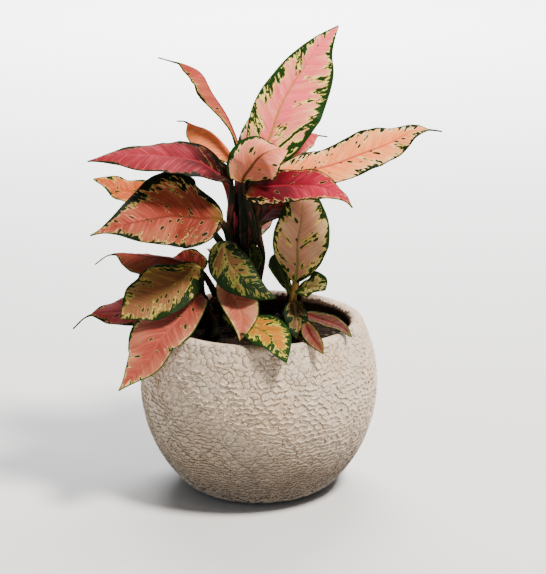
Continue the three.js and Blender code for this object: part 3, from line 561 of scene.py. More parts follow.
def leaf_variegation():
    """The colours of a variegated blade: flesh that changes from the midrib outward and is streaked along
    the side veins; zones of cream that crowd towards the margin and gather in, or keep out of, one patch,
    with green blotches in their hearts; one green stripe along a side vein; a dark margin that widens in
    places; a midrib line; dark specks in cream rings; a darker foot, with painted shade that darkens the
    flesh towards the base, and a duller back. Every noise is drawn on the side veins' own lines, and
    differs between leaves and between the halves of a leaf."""
    white, nowhere = (1.0,) * 4, (0.0,) * 3
    tree, take, give = new_group("leaf_variegation", {
        "Place mm": nowhere, "Shares": nowhere, "Flesh": white, "Flesh at margin": white, "Bloom": white,
        "Cream": white, "Green": white, "Light green": white, "Midrib": white, "Stalk": white,
        "Stalk streaks": white, "Left margin": 2.0, "Right margin": 2.0, "Flecks": 0.5, "Reach": 8.0,
        "Halo": 1.0, "Specks": 0.5, "Dark base and shade": 0.5, "Patch": nowhere, "Stripe": nowhere, "Seed": 0.0,
    }, {"Color": "Color", "Roughness": "Float", "Height": "Float"})
    s, x, edge = split(take["Place mm"])
    u, t, top = split(take["Shares"])
    right = calc("GREATER_THAN", x, 0.0)
    out = calc("ABSOLUTE", x)
    vein = s - out * VEIN_SLANT
    depth = take["Seed"] * 13.7 + right * 5.3

    def along_veins(across, outward, shift, detail=3.0, distortion=0.0):
        return noise(vector(vein * across, out * outward, depth + shift), 1.0, detail, 0.6, distortion)

    # cream zones: a slow noise, raised near the margin, in the patch and by the leaf's own amount
    near = grade(edge, take["Reach"], 0.0)
    patch_u, patch_t, patch_size = split(take["Patch"])
    off_u, off_t = (u - patch_u) * 2.0, t - patch_t
    off = calc("SQRT", off_u * off_u + off_t * off_t)
    patch = grade(calc("ABSOLUTE", patch_size) - off, 0.0, 0.45) * (calc("SIGN", patch_size) * 0.2)
    zone = along_veins(0.15, 0.10, 20.0) + near * 0.17 + take["Flecks"] * 0.15 + patch - 0.79
    cream_zone = grade(zone, -0.012, 0.02)

    # green blotches inside the zones, and the stripe
    blotch = along_veins(0.40, 0.26, 0.0, 3.0, 0.5)
    level = blotch + calc("MINIMUM", zone, 0.14) * 0.9 - 0.53
    level = calc("MINIMUM", level, zone - 0.008)
    stripe_at, stripe_half, stripe_side = split(take["Stripe"])
    away = calc("ABSOLUTE", s - out * 1.6 + blotch * 4.0 - 2.0 - stripe_at)
    same_side = calc("GREATER_THAN", stripe_side * x, 0.0)
    stripe = (stripe_half - away) * same_side
    striped = grade(stripe, -0.15, 0.15) * same_side
    by_stripe = grade(stripe, -1.8, -0.4) * same_side

    # margin: a thin dark line that widens where a slow and a quick noise are high, less on narrow stretches
    width = fields("ShaderNodeMix", {0: right, 2: take["Left margin"], 3: take["Right margin"]},
                   data_type="FLOAT")[0]
    slow = grade(along_veins(0.05, 0.02, 31.0, 1.0), 0.36, 0.66, 0.05, 1.5, "LINEAR")
    quick = grade(along_veins(0.35, 0.2, 3.1, 3.0, 0.5), 0.3, 0.7, 0.2, 1.7, "LINEAR")
    width = calc("MINIMUM", width * slow * quick, (edge + out) * 0.3)
    inside = edge - calc("MAXIMUM", width, 0.7)
    margin = grade(inside, 0.25, -0.1)
    by_margin = grade(inside, 1.8, 0.3) * grade(along_veins(0.3, 0.18, 9.0), 0.47, 0.62, 0.0, 0.75)

    # flesh, streaked by fine fibres and side veins, and darker towards the base: painted shade, in part the
    # foot's own darker tone
    drift, fibre = along_veins(0.07, 0.06, 8.0, 2.0), along_veins(1.3, 0.12, 0.0)
    outer = grade(calc("ABSOLUTE", t) + (drift - 0.5) * 1.8, 0.1, 0.95)
    color = blend(outer, take["Flesh"], take["Flesh at margin"])
    color = blend(grade(along_veins(0.6, 0.08, 14.0, 5.0), 0.46, 0.7, 0.0, 0.45), color, take["Bloom"])
    veins = calc("SINE", vein * (TURN / VEIN_PITCH))
    # painted shade on the flesh towards the base, strongest where a blade's foot turns from the light
    base_darkening_and_shade = grade(u + drift * 0.4 - 0.2, 0.55, 0.2) * (take["Dark base and shade"] * -0.72)
    shade = grade(fibre, 0.25, 0.75, 0.74, 1.26, "LINEAR") + grade(veins, 0.6, 1.0) * 0.1
    shade = grey(shade * (base_darkening_and_shade + 1.0))
    color = blend(1.0, color, shade, "MULTIPLY")

    # specks of varied size, and the cream rings round them
    cells = vector(vein * 0.30, out * 0.26, depth + 1.7)
    dots = fields("ShaderNodeTexVoronoi", {"Vector": cells, "Scale": 1.0})
    chance, bulk, _ = split(dots["Color"], "ShaderNodeSeparateColor")
    kept = calc("LESS_THAN", chance, take["Specks"])
    spot = dots["Distance"] + (fibre - 0.5) * 0.35 - bulk * bulk * 0.2
    speck = grade(spot, 0.27, 0.22) * kept
    ringed = grade(spot, 0.33, 0.28, 0.0, 0.7) * kept

    pale = largest(cream_zone, by_margin, by_stripe, ringed) * take["Halo"]
    color = blend(pale * 0.9, color, take["Cream"])
    line = out - grade(u, 0.0, 1.0, 1.0, 0.15, "LINEAR")
    ribbed = grade(line, 0.35, -0.35) * grade(u, 0.95, 0.4, 0.15, 0.85)
    color = blend(ribbed, color, take["Midrib"])

    # everything green, over the rest: light at its edges, dark in its hearts
    foot = grade(u + fibre * 0.2 - 0.06, 0.16, 0.04) * take["Dark base and shade"]
    green = largest(grade(level, 0.0, 0.012), striped, margin, speck, foot)
    deep = largest(grade(level, 0.008, 0.035), striped, grade(inside, 0.1, -0.3), speck, foot)
    moss = blend(1.0, blend(deep, take["Light green"], take["Green"]), shade, "MULTIPLY")
    color = blend(green, color, moss)

    streak = noise(vector(s * 0.08, x * 0.4, depth), 1.0, 3.0, 0.6)
    petiole = blend(grade(streak, 0.5, 0.62), take["Stalk"], take["Stalk streaks"])
    color = blend(grade(u, 0.0, -0.03), color, petiole)
    back = blend(1.0, color, (0.66, 0.70, 0.60, 1.0), "MULTIPLY")
    feed(blend(grade(top, 0.6, 0.4), color, back), give["Color"])
    feed(grade(fibre, 0.2, 0.8, 0.5, 0.64, "LINEAR"), give["Roughness"])
    feed(fibre * 0.5 + veins * 0.25, give["Height"])
    return tree


LEAF_GROUP = leaf_variegation()


def leaf_finish(name, paint, seed):
    """The satin skin of one leaf, with its own colours, margins and flecks."""
    material, tree, sockets = new_material("leaf_skin_" + name)
    skin = tree.nodes.new("ShaderNodeGroup")
    skin.node_tree = LEAF_GROUP
    colors = {"Flesh": "flesh", "Flesh at margin": "outer", "Bloom": "bloom", "Cream": "cream",
              "Green": "green", "Light green": "moss", "Midrib": "midrib", "Stalk": "stalk",
              "Stalk streaks": "streaks"}
    amounts = {"Halo": "halo", "Flecks": "flecks", "Reach": "reach", "Specks": "specks", "Dark base and shade": "base",
               "Patch": "patch", "Stripe": "stripe"}
    values = {"Place mm": attribute(tree, "leaf_mm", "Vector"),
              "Shares": attribute(tree, "leaf_share", "Vector"), "Seed": seed,
              "Left margin": paint["margins"][0], "Right margin": paint["margins"][1],
              **{socket: tint(paint[key]) for socket, key in colors.items()},
              **{socket: paint[key] for socket, key in amounts.items()}}
    for socket, value in values.items():
        feed(value, skin.inputs[socket])
    color, roughness, height = (Field(socket) for socket in skin.outputs)
    finish(sockets, color, roughness, height, 0.5, 0.0003, paint["gloss"])
    return material


# each tone's flesh, flesh at the margin, bloom, cream, green and midrib
TONES = {
    "pink": "ec5c64 ee946e f898a0 f0d88c 17350f b0763a",
    "salmon": "b04430 bc6440 dc705c e0c078 101b08 5a2416",
    "orange": "e87018 e26020 f09048 ecc06a 1e2c10 c85a30",
    "crimson": "9c2028 94262a d04c60 d8ac6c 101b08 5c161a",
    "tan": "8a5430 8c6636 b07848 bca050 182a0c 6d5a28",
    "green": "4c3a20 2c3a18 6a5c34 7c7240 12220b 7a6c38",
    "dark": "1c2a10 182610 28381a 3a401e 0c1406 343a14",
}


def paint_of(tone, margins=(2, 2), flecks=0.7, reach=8, specks=0.2, base=0.3, **others):
    """The paint of one leaf: its tone's colours, with what this leaf has of its own. Margins are the dark
    line's widths to either side, in mm; flecks is how much cream and green it has, and reach how far in
    from the margin they crowd, in mm; specks is the share of places with a speck, and base how dark its
    foot is, partly its own colour and partly painted shade towards the base. Halo is the strength of the
    cream; patch is a place, as shares of length and of half width, and a size, negative where cream keeps
    out; stripe is a place along the leaf, a half width and a side."""
    paint = dict(zip(("flesh", "outer", "bloom", "cream", "green", "midrib"), TONES[tone].split()))
    paint.update(slot="leaf_" + tone, margins=margins, flecks=flecks, reach=reach, specks=specks, base=base,
                 halo=0.8, gloss=0.07, stalk="10180a", streaks="40201a", patch=(0, 0, 0), stripe=(0, -9, 0),
                 moss="7c8c30")
    paint.update(others)
    return paint


PAINTS = {
    "crown_1": paint_of("pink", (1.7, 3.4), 1.42, 11, 0.06, 0.0, halo=1, patch=(1.0, 0.0, -0.8),
        stripe=(3, 1.5, 1), flesh="ff636c", outer="ffa178", cream="f6e27a", midrib="a88238"),
    "crown_2": paint_of("salmon", (0.8, 1.0), 0.5, 4, 0.05, 0.1, halo=0.7, flesh="aa4037", outer="b25c43"),
    # crown_3's bright orange flesh is partly the leaf's own orange and partly painted light shining through
    # the thin blade
    "crown_3": paint_of("orange", (0.7, 0.7), 0.2, 4, 0.0, 0.0, flesh="f2804a", outer="ee7c3c",
        bloom="f8a080", stalk="241410", streaks="b84858"),
    # crown_4's strong base value is painted shade on the part of its foot that turns from the light
    "crown_4": paint_of("crimson", (2.4, 2.2), 0.5, 6, 0.05, 1.25, halo=0.15, patch=(0.12, 0.3, 0.8),
        flesh="831724", outer="7d1e27", moss="46481e", midrib="8a2430", stalk="141a0c", streaks="5c2824"),
    "crown_5": paint_of("pink", (1.5, 1.3), 0.5, 6, 0.2, 0.2, patch=(0.3, -0.9, 0.5), flesh="e17952",
        outer="ef9373", midrib="3a2a10"),
    "crown_6": paint_of("salmon", (1.9, 2.4), 1.05, 8, 0.25, 0.1, flesh="ff8743", outer="ffa15e",
        bloom="fcb080", cream="f0dca0", midrib="c64838"),
    "crown_7": paint_of("crimson", (0.7, 1.0), 0.6, 6, 0.15, 1.1, halo=0.7, patch=(0.12, 1.0, 0.7),
        flesh="a51732", outer="961429", midrib="8c1828", stalk="141a0c", streaks="5c2824"),
    "crown_8": paint_of("pink", (0.8, 0.8), 0.3, 5, 0.1, 0.1, flesh="b3313c", outer="c24d4f"),
    "crown_9": paint_of("pink"),
    "crown_10": paint_of("crimson", stalk="8a3c38", streaks="b05a54"),
    "crown_11": paint_of("salmon", stalk="5a2a24", streaks="8c4440"),
    "middle_1": paint_of("salmon", (2.8, 3.4), 0.55, 12, 0.3, 0.6, halo=0.45, patch=(0.35, 0.95, 0.8),
        flesh="863223", outer="8f4c31"),
    "middle_2": paint_of("orange", (1, 1.5), 0.7, 8, 0.2, 0.2, halo=0.7, flesh="aa4a26", outer="ba5626"),
    "middle_3": paint_of("green", (2.6, 3.6), 1.75, 12, 0.3, 0.7, halo=0.6, patch=(0.9, 0.0, 1.0),
        flesh="6a4628", outer="4a3e1e", cream="6e6a34", midrib="6a5a30"),
    "middle_4": paint_of("crimson", (2, 2), 0.3, 6, 0.1, 0.5, halo=0.3, flesh="521914", outer="441912"),
    "middle_5": paint_of("crimson"),
    "middle_6": paint_of("salmon"),
    "middle_7": paint_of("dark", (1, 1)),
    "left_1": paint_of("tan", (2.4, 1.5), 1.0, 11, 0.42, 0.3, halo=0.75, patch=(0.2, -0.9, 0.7),
        flesh="764b2d", outer="7a5e33"),
    "left_2": paint_of("crimson", (2.0, 0.6), 0.3, 6, 0.1, 0.6, halo=0.3, flesh="9c4c34", outer="80482c"),
    "left_3": paint_of("crimson", (2.6, 0.8), 0.6, 6, 0.1, 0.4, halo=0.5, flesh="9c3936", outer="953e3a"),
    "left_4": paint_of("pink", (0.6, 1.2), 0.4, 6, 0.1, 0.1, halo=0.7, flesh="934034", outer="a06048",
        bloom="cc6c58", midrib="a04c3c"),
    "front_1": paint_of("pink", (0.5, 0.5), 0.3, 4, 0.04, 0.1, halo=0.8, flesh="a75640", outer="b97b5b",
        bloom="d08068", midrib="b86c50"),
    "front_2": paint_of("tan", (1.4, 1.8), 1.85, 7, 0.1, 0.2, halo=1, flesh="b06c1c", outer="94781e",
        cream="c4b044", green="15340c"),
    "right_1": paint_of("tan", (2.4, 3.2), 1.35, 8, 0.12, 0.1, flesh="a47057", outer="a98566",
        midrib="6a6234", stalk="806030", streaks="a08040"),
    "right_2": paint_of("tan", (3.8, 3.8), 1.8, 9, 0.3, 0.3, flesh="7a6c42", outer="6e6c40",
        cream="a89c60"),
    "right_3": paint_of("green", (1.4, 1.4), 1.2, 8, flesh="5c3a28", outer="4a3624", cream="8c7a48"),
    "right_4": paint_of("crimson", (0.6, 0.6), 0.2, 3, halo=0.2, flesh="6c3a2c", outer="74463a",
        bloom="a0685c"),
    # right_5's very dark flesh is painted shadow: this narrow leaf lies in shade
    "right_5": paint_of("crimson", (0.8, 0.8), 0.2, 3, halo=0.2, flesh="5a3028", outer="503028",
        bloom="7c4c40", cream="8c6a48"),
    "right_6": paint_of("salmon"),
    "right_7": paint_of("dark", (1, 1)),
    "rear_1": paint_of("crimson", (1.5, 1.5), 0.3, halo=0.4, gloss=0.0, flesh="5c2414", outer="542a16"),
    "rear_2": paint_of("pink"),
    "rear_4": paint_of("salmon"),
}

for leaf_seed, (leaf_name, leaf_form) in enumerate(LEAVES.items(), 1):
    make_leaf(leaf_name, leaf_form, PAINTS[leaf_name], leaf_seed)


# ---------------------------------------------------------------- canes

CANE_RINGS, CANE_SIDES = 110, 48
CANE_ROUNDS = 0.8  # the share of a cane's length where its top starts to round off
CANE_SCARS, SCAR_SWELL, SCAR_GROOVE = 5, 0.07, 0.3  # how many, a share of the radius, and a depth
CANES = {
    "cane_main": (((-10, 4, 84), (-8, 4, 112), (-6, 3, 142), (-8, 1, 172), (-9, 0, 184)), (6.6, 4)),
    "cane_left": (((-26, -3, 84), (-29, -4, 100), (-33, -5, 116), (-35, -6, 126)), (5.2, 3.4)),
    "cane_right": (((10, -7, 84), (13, -8, 102), (18, -9, 114), (20, -9, 120)), (5, 3.2)),
    "cane_rear": (((-20, 24, 84), (-22, 28, 104), (-24, 31, 116), (-25, 33, 125)), (5.2, 3.4)),
}


def cane_finish():
    """Dark green bark with brown patches and a fine olive grain."""
    material, tree, sockets = new_material("cane_bark")
    coarse, fine = (noise(object_place(tree), scale, 3.0, 0.6) for scale in (90.0, 600.0))
    color = blend(grade(coarse, 0.4, 0.65), tint("141c0e"), tint("2a2216"))
    color = blend(grade(fine, 0.4, 0.8), color, tint("38381e"))
    finish(sockets, color, grade(fine, 0.2, 0.8, 0.45, 0.65), fine, 0.5, 0.0004, 0.15)
    return material


def make_cane(name, path, radii, material):
    """A round stem along a path. Its radius shrinks evenly, rounds off at the top, swells a little at each
    leaf scar and has a thin groove beside each swelling."""
    u = np.linspace(0, 1, CANE_RINGS)
    dense = np.linspace(0, 1, 800)
    length = walked(smooth_path(path, dense)[0])
    centre, along = smooth_path(path, np.interp(u * length[-1], length, dense))
    radius = mix(*radii, u) * np.sqrt(1 - np.maximum(0, (u - CANE_ROUNDS) / (1 - CANE_ROUNDS)) ** 3 * 0.75)
    groove = np.exp(-((((u * CANE_SCARS + 0.42) % 1) - 0.5) / 0.05) ** 2)
    radius = radius * (1 + SCAR_SWELL * np.cos(TURN * CANE_SCARS * u)) - SCAR_GROOVE * groove
    across = unit(np.array([1.0, 0, 0]) - along * along[:, :1])
    away = np.cross(along, across)
    turn = np.linspace(0, TURN, CANE_SIDES, endpoint=False)[None, :, None]
    points = (centre[:, None] + radius[:, None, None]
              * (across[:, None] * np.cos(turn) + away[:, None] * np.sin(turn)))
    put_piece("stem_" + name, *closed_tube(points), material, "cane", [name])


cane_skin = cane_finish()
for cane_name, (cane_path, cane_radii) in CANES.items():
    make_cane(cane_name, cane_path, cane_radii, cane_skin)


# ---------------------------------------------------------------- soil

POT_RADIUS, POT_HALF_HEIGHT, POT_CENTRE_Z, POT_WALL, POT_FLOOR = 75, 83, 69, 8.5, 9
FOOT_RADIUS, FOOT_ROUNDING, LIP_CENTRE_Z = 36, 6, 106.25
SOIL_TOP, SOIL_MOUND, SOIL_LUMPS, SOIL_GAP, SOIL_LIFT = 96, 4, 1.3, 0.9, 0.35
SOIL_SIDES, CRUMBS, CRUMBS_OUT_TO = 220, 420, 60
LATTICE_SIZE = 256


def egg_radius(z, inset=0.0):
    """Radius of the pot's egg at a height, for the outside or for a surface inset from it: an ellipse."""
    share = (z - POT_CENTRE_Z) / (POT_HALF_HEIGHT - inset)
    return (POT_RADIUS - inset) * np.sqrt(np.maximum(0, 1 - share**2))


def soil_finish():
    """Dark, matt soil in two browns, with scattered lighter grains."""
    material, tree, sockets = new_material("potting_soil")
    place = object_place(tree)
    coarse, fine = noise(place, 250.0, 4.0, 0.65), noise(place, 1400.0, 3.0, 0.6)
    color = blend(grade(coarse, 0.35, 0.7), tint("0e0804"), tint("281a12"))
    color = blend(grade(fine, 0.62, 0.72), color, tint("6a5238"))
    finish(sockets, color, 0.95, fine, 0.8, 0.001, 0.15)
    return material


def lattice(x, y, cell, seed):
    """Smooth random heights: a random value at each corner of square cells, eased between corners."""
    gx, gy = x / cell + 100, y / cell + 100
    ix, iy = np.floor(gx).astype(int), np.floor(gy).astype(int)
    fx, fy = ramp(gx - ix, 0, 1), ramp(gy - iy, 0, 1)
    values = np.random.default_rng(seed).uniform(-1, 1, (LATTICE_SIZE, LATTICE_SIZE))

    def at(a, b):
        return values[(ix + a) % LATTICE_SIZE, (iy + b) % LATTICE_SIZE]
    return mix(mix(at(0, 0), at(1, 0), fx), mix(at(0, 1), at(1, 1), fx), fy)


def soil_top(x, y):
    """Height of the soil: a low mound, long swells and two sizes of lumps, flatter towards the pot."""
    share = np.minimum(1, np.hypot(x, y) / (POT_RADIUS - POT_WALL))
    swell = np.sin(x * 0.31 + 1) * np.sin(y * 0.27) + np.sin(x * 0.13 - y * 0.19)
    lumps = 0.9 * lattice(x, y, 3.1, 5) + 0.6 * lattice(x + 7, y - 3, 1.5, 6)
    return SOIL_TOP + SOIL_MOUND * (1 - share**2) + SOIL_LUMPS * swell * (1 - share**4) + lumps


def make_soil():
    """The soil fills the egg with a small gap, up to its lumpy top."""
    side_z = np.linspace(POT_FLOOR + SOIL_LIFT, SOIL_TOP, 24)
    side_r = egg_radius(side_z, POT_WALL + SOIL_GAP)
    top_r = side_r[-1] * np.linspace(1, 0.004, 90)[1:]
    turn = np.linspace(0, TURN, SOIL_SIDES, endpoint=False)
    r = np.concatenate([side_r, top_r])[:, None]
    x, y = r * np.cos(turn), r * np.sin(turn)
    z = np.where(np.arange(len(r))[:, None] < len(side_z), np.pad(side_z, (0, len(top_r)))[:, None],
                 soil_top(x, y))
    put_piece("soil_bed", *closed_tube(np.stack([x, y, z], -1)), soil_finish(), "soil", ["soil"])


def crumb_finish():
    """Bark crumbs: each with its own brown, from nearly black to tan."""
    material, tree, sockets = new_material("bark_crumbs")
    tone = attribute(tree, "tone", "Fac")
    grain = noise(object_place(tree), 1500.0, 3.0, 0.6)
    color = blend(grade(tone, 0.2, 0.9), tint("150d08"), tint("4a3222"))
    color = blend(grade(tone, 0.93, 0.96), color, tint("8a7458"))
    color = blend(grade(grain, 0.4, 0.7, 0.0, 0.5), color, tint("241810"))
    finish(sockets, color, grade(grain, 0.3, 0.7, 0.75, 0.95), grain, 0.6, 0.0005)
    return material


def make_crumbs():
    """Crumbs of bark strewn on the soil: a twenty-sided solid, stretched and jittered differently for each
    crumb, turned at random and half sunk into the soil's top."""
    rng = np.random.default_rng(11)
    g = (1 + 5**0.5) / 2
    corner = unit(np.array([(-1, g, 0), (1, g, 0), (-1, -g, 0), (1, -g, 0), (0, -1, g), (0, 1, g),
                            (0, -1, -g), (0, 1, -g), (g, 0, -1), (g, 0, 1), (-g, 0, -1), (-g, 0, 1)]))
    face = np.array([(0, 11, 5), (0, 5, 1), (0, 1, 7), (0, 7, 10), (0, 10, 11), (1, 5, 9), (5, 11, 4),
                     (11, 10, 2), (10, 7, 6), (7, 1, 8), (3, 9, 4), (3, 4, 2), (3, 2, 6), (3, 6, 8),
                     (3, 8, 9), (4, 9, 5), (2, 4, 11), (6, 2, 10), (8, 6, 7), (9, 8, 1)])
    size = rng.uniform(0.5, 1.5, (CRUMBS, 1, 1)) ** 1.6
    stretch = rng.uniform(0.5, 1.0, (CRUMBS, 1, 3)) * (1.5, 1.0, 0.55)
    body = corner[None] * (1 + rng.uniform(-0.25, 0.25, (CRUMBS, 12, 1))) * size * stretch
    spin = rng.uniform(0, TURN, CRUMBS)
    tilt = rng.uniform(-0.6, 0.6, CRUMBS)
    c, s, ct, st = np.cos(spin), np.sin(spin), np.cos(tilt), np.sin(tilt)
    zero, one = np.zeros(CRUMBS), np.ones(CRUMBS)
    flat = np.stack([c, -s, zero, s, c, zero, zero, zero, one], -1).reshape(-1, 3, 3)
    lean = np.stack([ct, zero, st, zero, one, zero, -st, zero, ct], -1).reshape(-1, 3, 3)
    body = np.einsum("nij,njk,nvk->nvi", flat, lean, body)
    r, angle = CRUMBS_OUT_TO * np.sqrt(rng.uniform(0.003, 0.93, CRUMBS)), rng.uniform(0, TURN, CRUMBS)
    x, y = r * np.cos(angle), r * np.sin(angle)
    body += np.stack([x, y, soil_top(x, y) + 0.2], -1)[:, None]
    tone = np.repeat(rng.uniform(0, 1, CRUMBS), 12)
    faces = (face[None] + 12 * np.arange(CRUMBS)[:, None, None]).reshape(-1, 3)
    put_piece("bark_crumbs", body.reshape(-1, 3), np.zeros((0, 4), int), faces, crumb_finish(), "soil", [],
              {"tone": tone}, False)


make_soil()
make_crumbs()


# ---------------------------------------------------------------- pot

COLUMNS, ROWS = 180, 50  # columns of flakes, each on every second row, and rows
COLUMN = TURN / COLUMNS
COMB_START = 3.0  # distance walked up the outline to the first row
GLAZE_END = 150  # degrees round the lip, from the outside
RAGGED = 0.8  # how far the glaze's end strays
LOW_ROW, HIGH_ROW = 2.3, 4.6  # how tall the lowest and highest rows are beside each other
POINTED = 0.17  # how far the zigzags' corners point up or down, in rows
STRAY_ROUND, STRAY_UP = 0.42, 0.2  # how far corners stray, in columns and in rows
# slow and quick ripples that warp the comb: radians round the pot and seed, mm up and seed, and settings
WARPS = ((0.022, 3, 0.9, 4, ()), (0.008, 12, 0.8, 13, (12, 45, 0.25)))
CRACK_DEPTH, RIDGE_HEIGHT = 0.5, 0.85
LIPPED_TO, LIPPED_SHARE = 0.8, 0.85  # most cracks up to this share of the way are lipped, and how many
RIM_INSET = (0.11, 0.16)  # how far a flake's rim is set in on the upper and the lower side, in rows
CURLS = (0.14, 0.42)  # least and greatest height of a flake's curled edge
LIPPED_RIM = (-0.38, 0.05)  # height of a flake's rim inside a lipped edge, on the upper and lower side
FLAKE_STEP, FLAKE_PUFF = 0.07, 0.05  # how much flakes and their middles differ in height
CLAY_ROUGH = 0.16  # how far the bare inside strays
FAR = 60.0  # the mark of places well before or past the glaze's end
RING = 12  # points round a flake


def pot_outline():
    """The pot's outside line from the edge of its flat base up the egg and round the lip to the end of the
    glaze, as closely spaced radii and heights, the distance walked, and the outward direction."""
    lip_r, lip_half = lip_circle()
    foot = np.linspace(0, 1, 40)[:-1]
    egg_z = np.linspace(FOOT_ROUNDING, LIP_CENTRE_Z, 400)
    lip = np.radians(np.linspace(0, GLAZE_END, 60))[1:]
    r = np.concatenate([mix(FOOT_RADIUS, egg_radius(FOOT_ROUNDING), foot), egg_radius(egg_z),
                        lip_r + lip_half * np.cos(lip)])
    z = np.concatenate([FOOT_ROUNDING * foot**1.6, egg_z, LIP_CENTRE_Z + lip_half * np.sin(lip)])
    s = walked(np.stack([r, z], -1))
    return r, z, s, unit(np.stack([np.gradient(z, s), -np.gradient(r, s)], -1))


def lip_circle():
    """Middle radius and half thickness of the half-round lip."""
    outer, inner = egg_radius(LIP_CENTRE_Z), egg_radius(LIP_CENTRE_Z, POT_WALL)
    return (outer + inner) / 2, (outer - inner) / 2


def ripple(turn, walk, seed, waves=9, most=14, pitch=0.09):
    """A smooth random field round the pot: a sum of sines whose counts round the pot are whole numbers."""
    rng = np.random.default_rng(seed)
    counts = rng.integers(2, most, waves)
    slopes, starts = rng.uniform(-pitch, pitch, waves) * 2, rng.uniform(0, PHASES, waves)
    return sum(np.sin(n * turn + m * walk + p) for n, m, p in zip(counts, slopes, starts)) / math.sqrt(waves)


def comb_corners(rng, s_last):
    """The corners of the honeycomb on zigzag lines, corner[line, column], as the angle round the pot and
    the distance walked up its outline. Rows grow taller towards the lip. Corners are jittered, and warped
    by slow and quick ripples, less near the first and last line, and the last line is ragged. Returns the
    lines' levels and row heights, the two places, how far each corner may stray, and 1 or -1 for corners
    that point up or down."""
    share = np.linspace(0, 1, ROWS + 1)
    level = np.cumsum(np.concatenate([[0], mix(LOW_ROW, HIGH_ROW, ramp(share[1:], 0.05, 0.95))]))
    level = COMB_START + level / level[-1] * (s_last - COMB_START)
    tall = np.gradient(level)
    line, column = np.meshgrid(np.arange(ROWS + 1), np.arange(COLUMNS), indexing="ij")
    apex = np.where((column - line) % 2 == 0, 1.0, -1.0)
    stray = np.minimum(1, np.minimum(line, ROWS - line) / 3)
    turn = (column + stray * rng.uniform(-STRAY_ROUND, STRAY_ROUND, column.shape)) * COLUMN
    upward = POINTED * apex + stray * rng.uniform(-STRAY_UP, STRAY_UP, column.shape)
    walk = level[:, None] + tall[:, None] * upward
    for turn_by, turn_seed, walk_by, walk_seed, settings in WARPS:
        turn = turn + stray * turn_by * ripple(turn, walk, turn_seed, *settings)
        walk = walk + stray * walk_by * ripple(turn, walk, walk_seed, *settings)
    rise = RAGGED * rng.uniform(-1, 1, COLUMNS) + 0.5 * ripple(turn[-1], walk[-1], 9, 12, 40)
    walk[-1] = np.minimum(walk[-1] + rise - 1.0, s_last)
    return level, tall, turn, walk, stray, apex


def crack_openings(rng, level, turn, walk, apex):
    """How open each crack is, from 0 for filled, which joins two flakes, to 1: along the zigzag from each
    corner to the next, along the upright edge below each corner, and at the corner, where it is the
    middle one of the three that meet. The odds change with the height and round the pot. Also returns
    how far each line is on the lip."""
    height = (level / level[-1])[:, None]
    coarse = 0.05 * ripple(turn, walk, 5, 12, 22, 0.12)
    near_lip = ramp(height, 0.78, 0.9) * (1 - ramp(height, 0.93, 0.96))
    on_lip = ramp(height, 0.93, 0.965)
    upper = ramp(height, 0.3, 0.8)
    odds = (mix(1.1, 0.95, upper) + coarse - 0.35 * near_lip, mix(1.0, 0.82, upper) + coarse + 0.1 * near_lip)
    zig, up = (ramp(odd * (1 - 0.75 * on_lip) - rng.uniform(0, 1, turn.shape), -0.04, 0.14) for odd in odds)
    zig[[0, -1]] = 0
    above = np.concatenate([up[1:], np.zeros((1, COLUMNS))])
    corner = np.sort(np.stack([zig, np.roll(zig, 1, 1), np.where(apex > 0, above, up)]), axis=0)[1]
    corner[[0, -1]] = 0
    return zig, up, corner, on_lip


def flake_rings():
    """The point numbers round every flake: six corners, four zigzag middles and two upright middles.
    Shared points are numbered corners first, then zigzag middles, then the upright middles in use. Returns
    the rings, each flake's row and column, which upright edges are in use, and the zigzag lines' points."""
    line, column = np.meshgrid(np.arange(ROWS + 1), np.arange(COLUMNS), indexing="ij")
    corner = line * COLUMNS + column
    zig = corner + corner.size
    used = (column - line) % 2 == 1
    used[0] = False
    up = np.full(used.shape, -1)
    up[used] = 2 * corner.size + np.arange(used.sum())
    row, place = (grid.ravel() for grid in np.meshgrid(np.arange(1, ROWS + 1), np.arange(0, COLUMNS, 2),
                                                       indexing="ij"))
    place = place + row % 2
    right, left, here = (place + 1) % COLUMNS, (place - 1) % COLUMNS, place % COLUMNS
    rings = np.stack([corner[row - 1, here], zig[row - 1, here], corner[row - 1, right], up[row, right],
                      corner[row, right], zig[row, here], corner[row, here], zig[row, left],
                      corner[row, left], up[row, left], corner[row - 1, left], zig[row - 1, left]], -1)
    return rings, row, here, used, np.stack([corner, zig], -1).reshape(ROWS + 1, -1)


def plain_rings(rng, r_line, z_line, s_line):
    """Points of the plain rings below and above the crackled skin, points[ring, place]: the base, and the
    bare inside of the lip and pot down to its floor, a little rough."""
    lip_r, lip_half = lip_circle()
    turn = np.arange(2 * COLUMNS) * COLUMN / 2
    foot = np.linspace(COMB_START, 0, 5)[1:-1][::-1]
    base_r = np.concatenate([[4], np.linspace(8, FOOT_RADIUS, 4), np.interp(foot, s_line, r_line)])
    base_z = np.concatenate([np.zeros(5), np.interp(foot, s_line, z_line)])
    lip = np.radians(np.linspace(GLAZE_END, 180, 5))[1:]
    near_lip = LIP_CENTRE_Z - np.array([0.9, 2, 3.3, 5, 7, 9.5])
    wall_z = np.concatenate([near_lip, np.linspace(90, POT_FLOOR + 2, 5)])
    in_r = np.concatenate([lip_r + lip_half * np.cos(lip), egg_radius(wall_z, POT_WALL), [16, 3]])
    in_z = np.concatenate([LIP_CENTRE_Z + lip_half * np.sin(lip), wall_z, [POT_FLOOR, POT_FLOOR]])
    rough = CLAY_ROUGH * rng.uniform(-1, 1, (len(in_r), len(turn))) * (in_z < LIP_CENTRE_Z)[:, None]

    def rings(r, z):
        return np.stack([r * np.cos(turn), r * np.sin(turn), z[:, None] + 0 * turn], -1)
    return rings(base_r[:, None], base_z), rings(in_r[:, None] + rough, in_z)


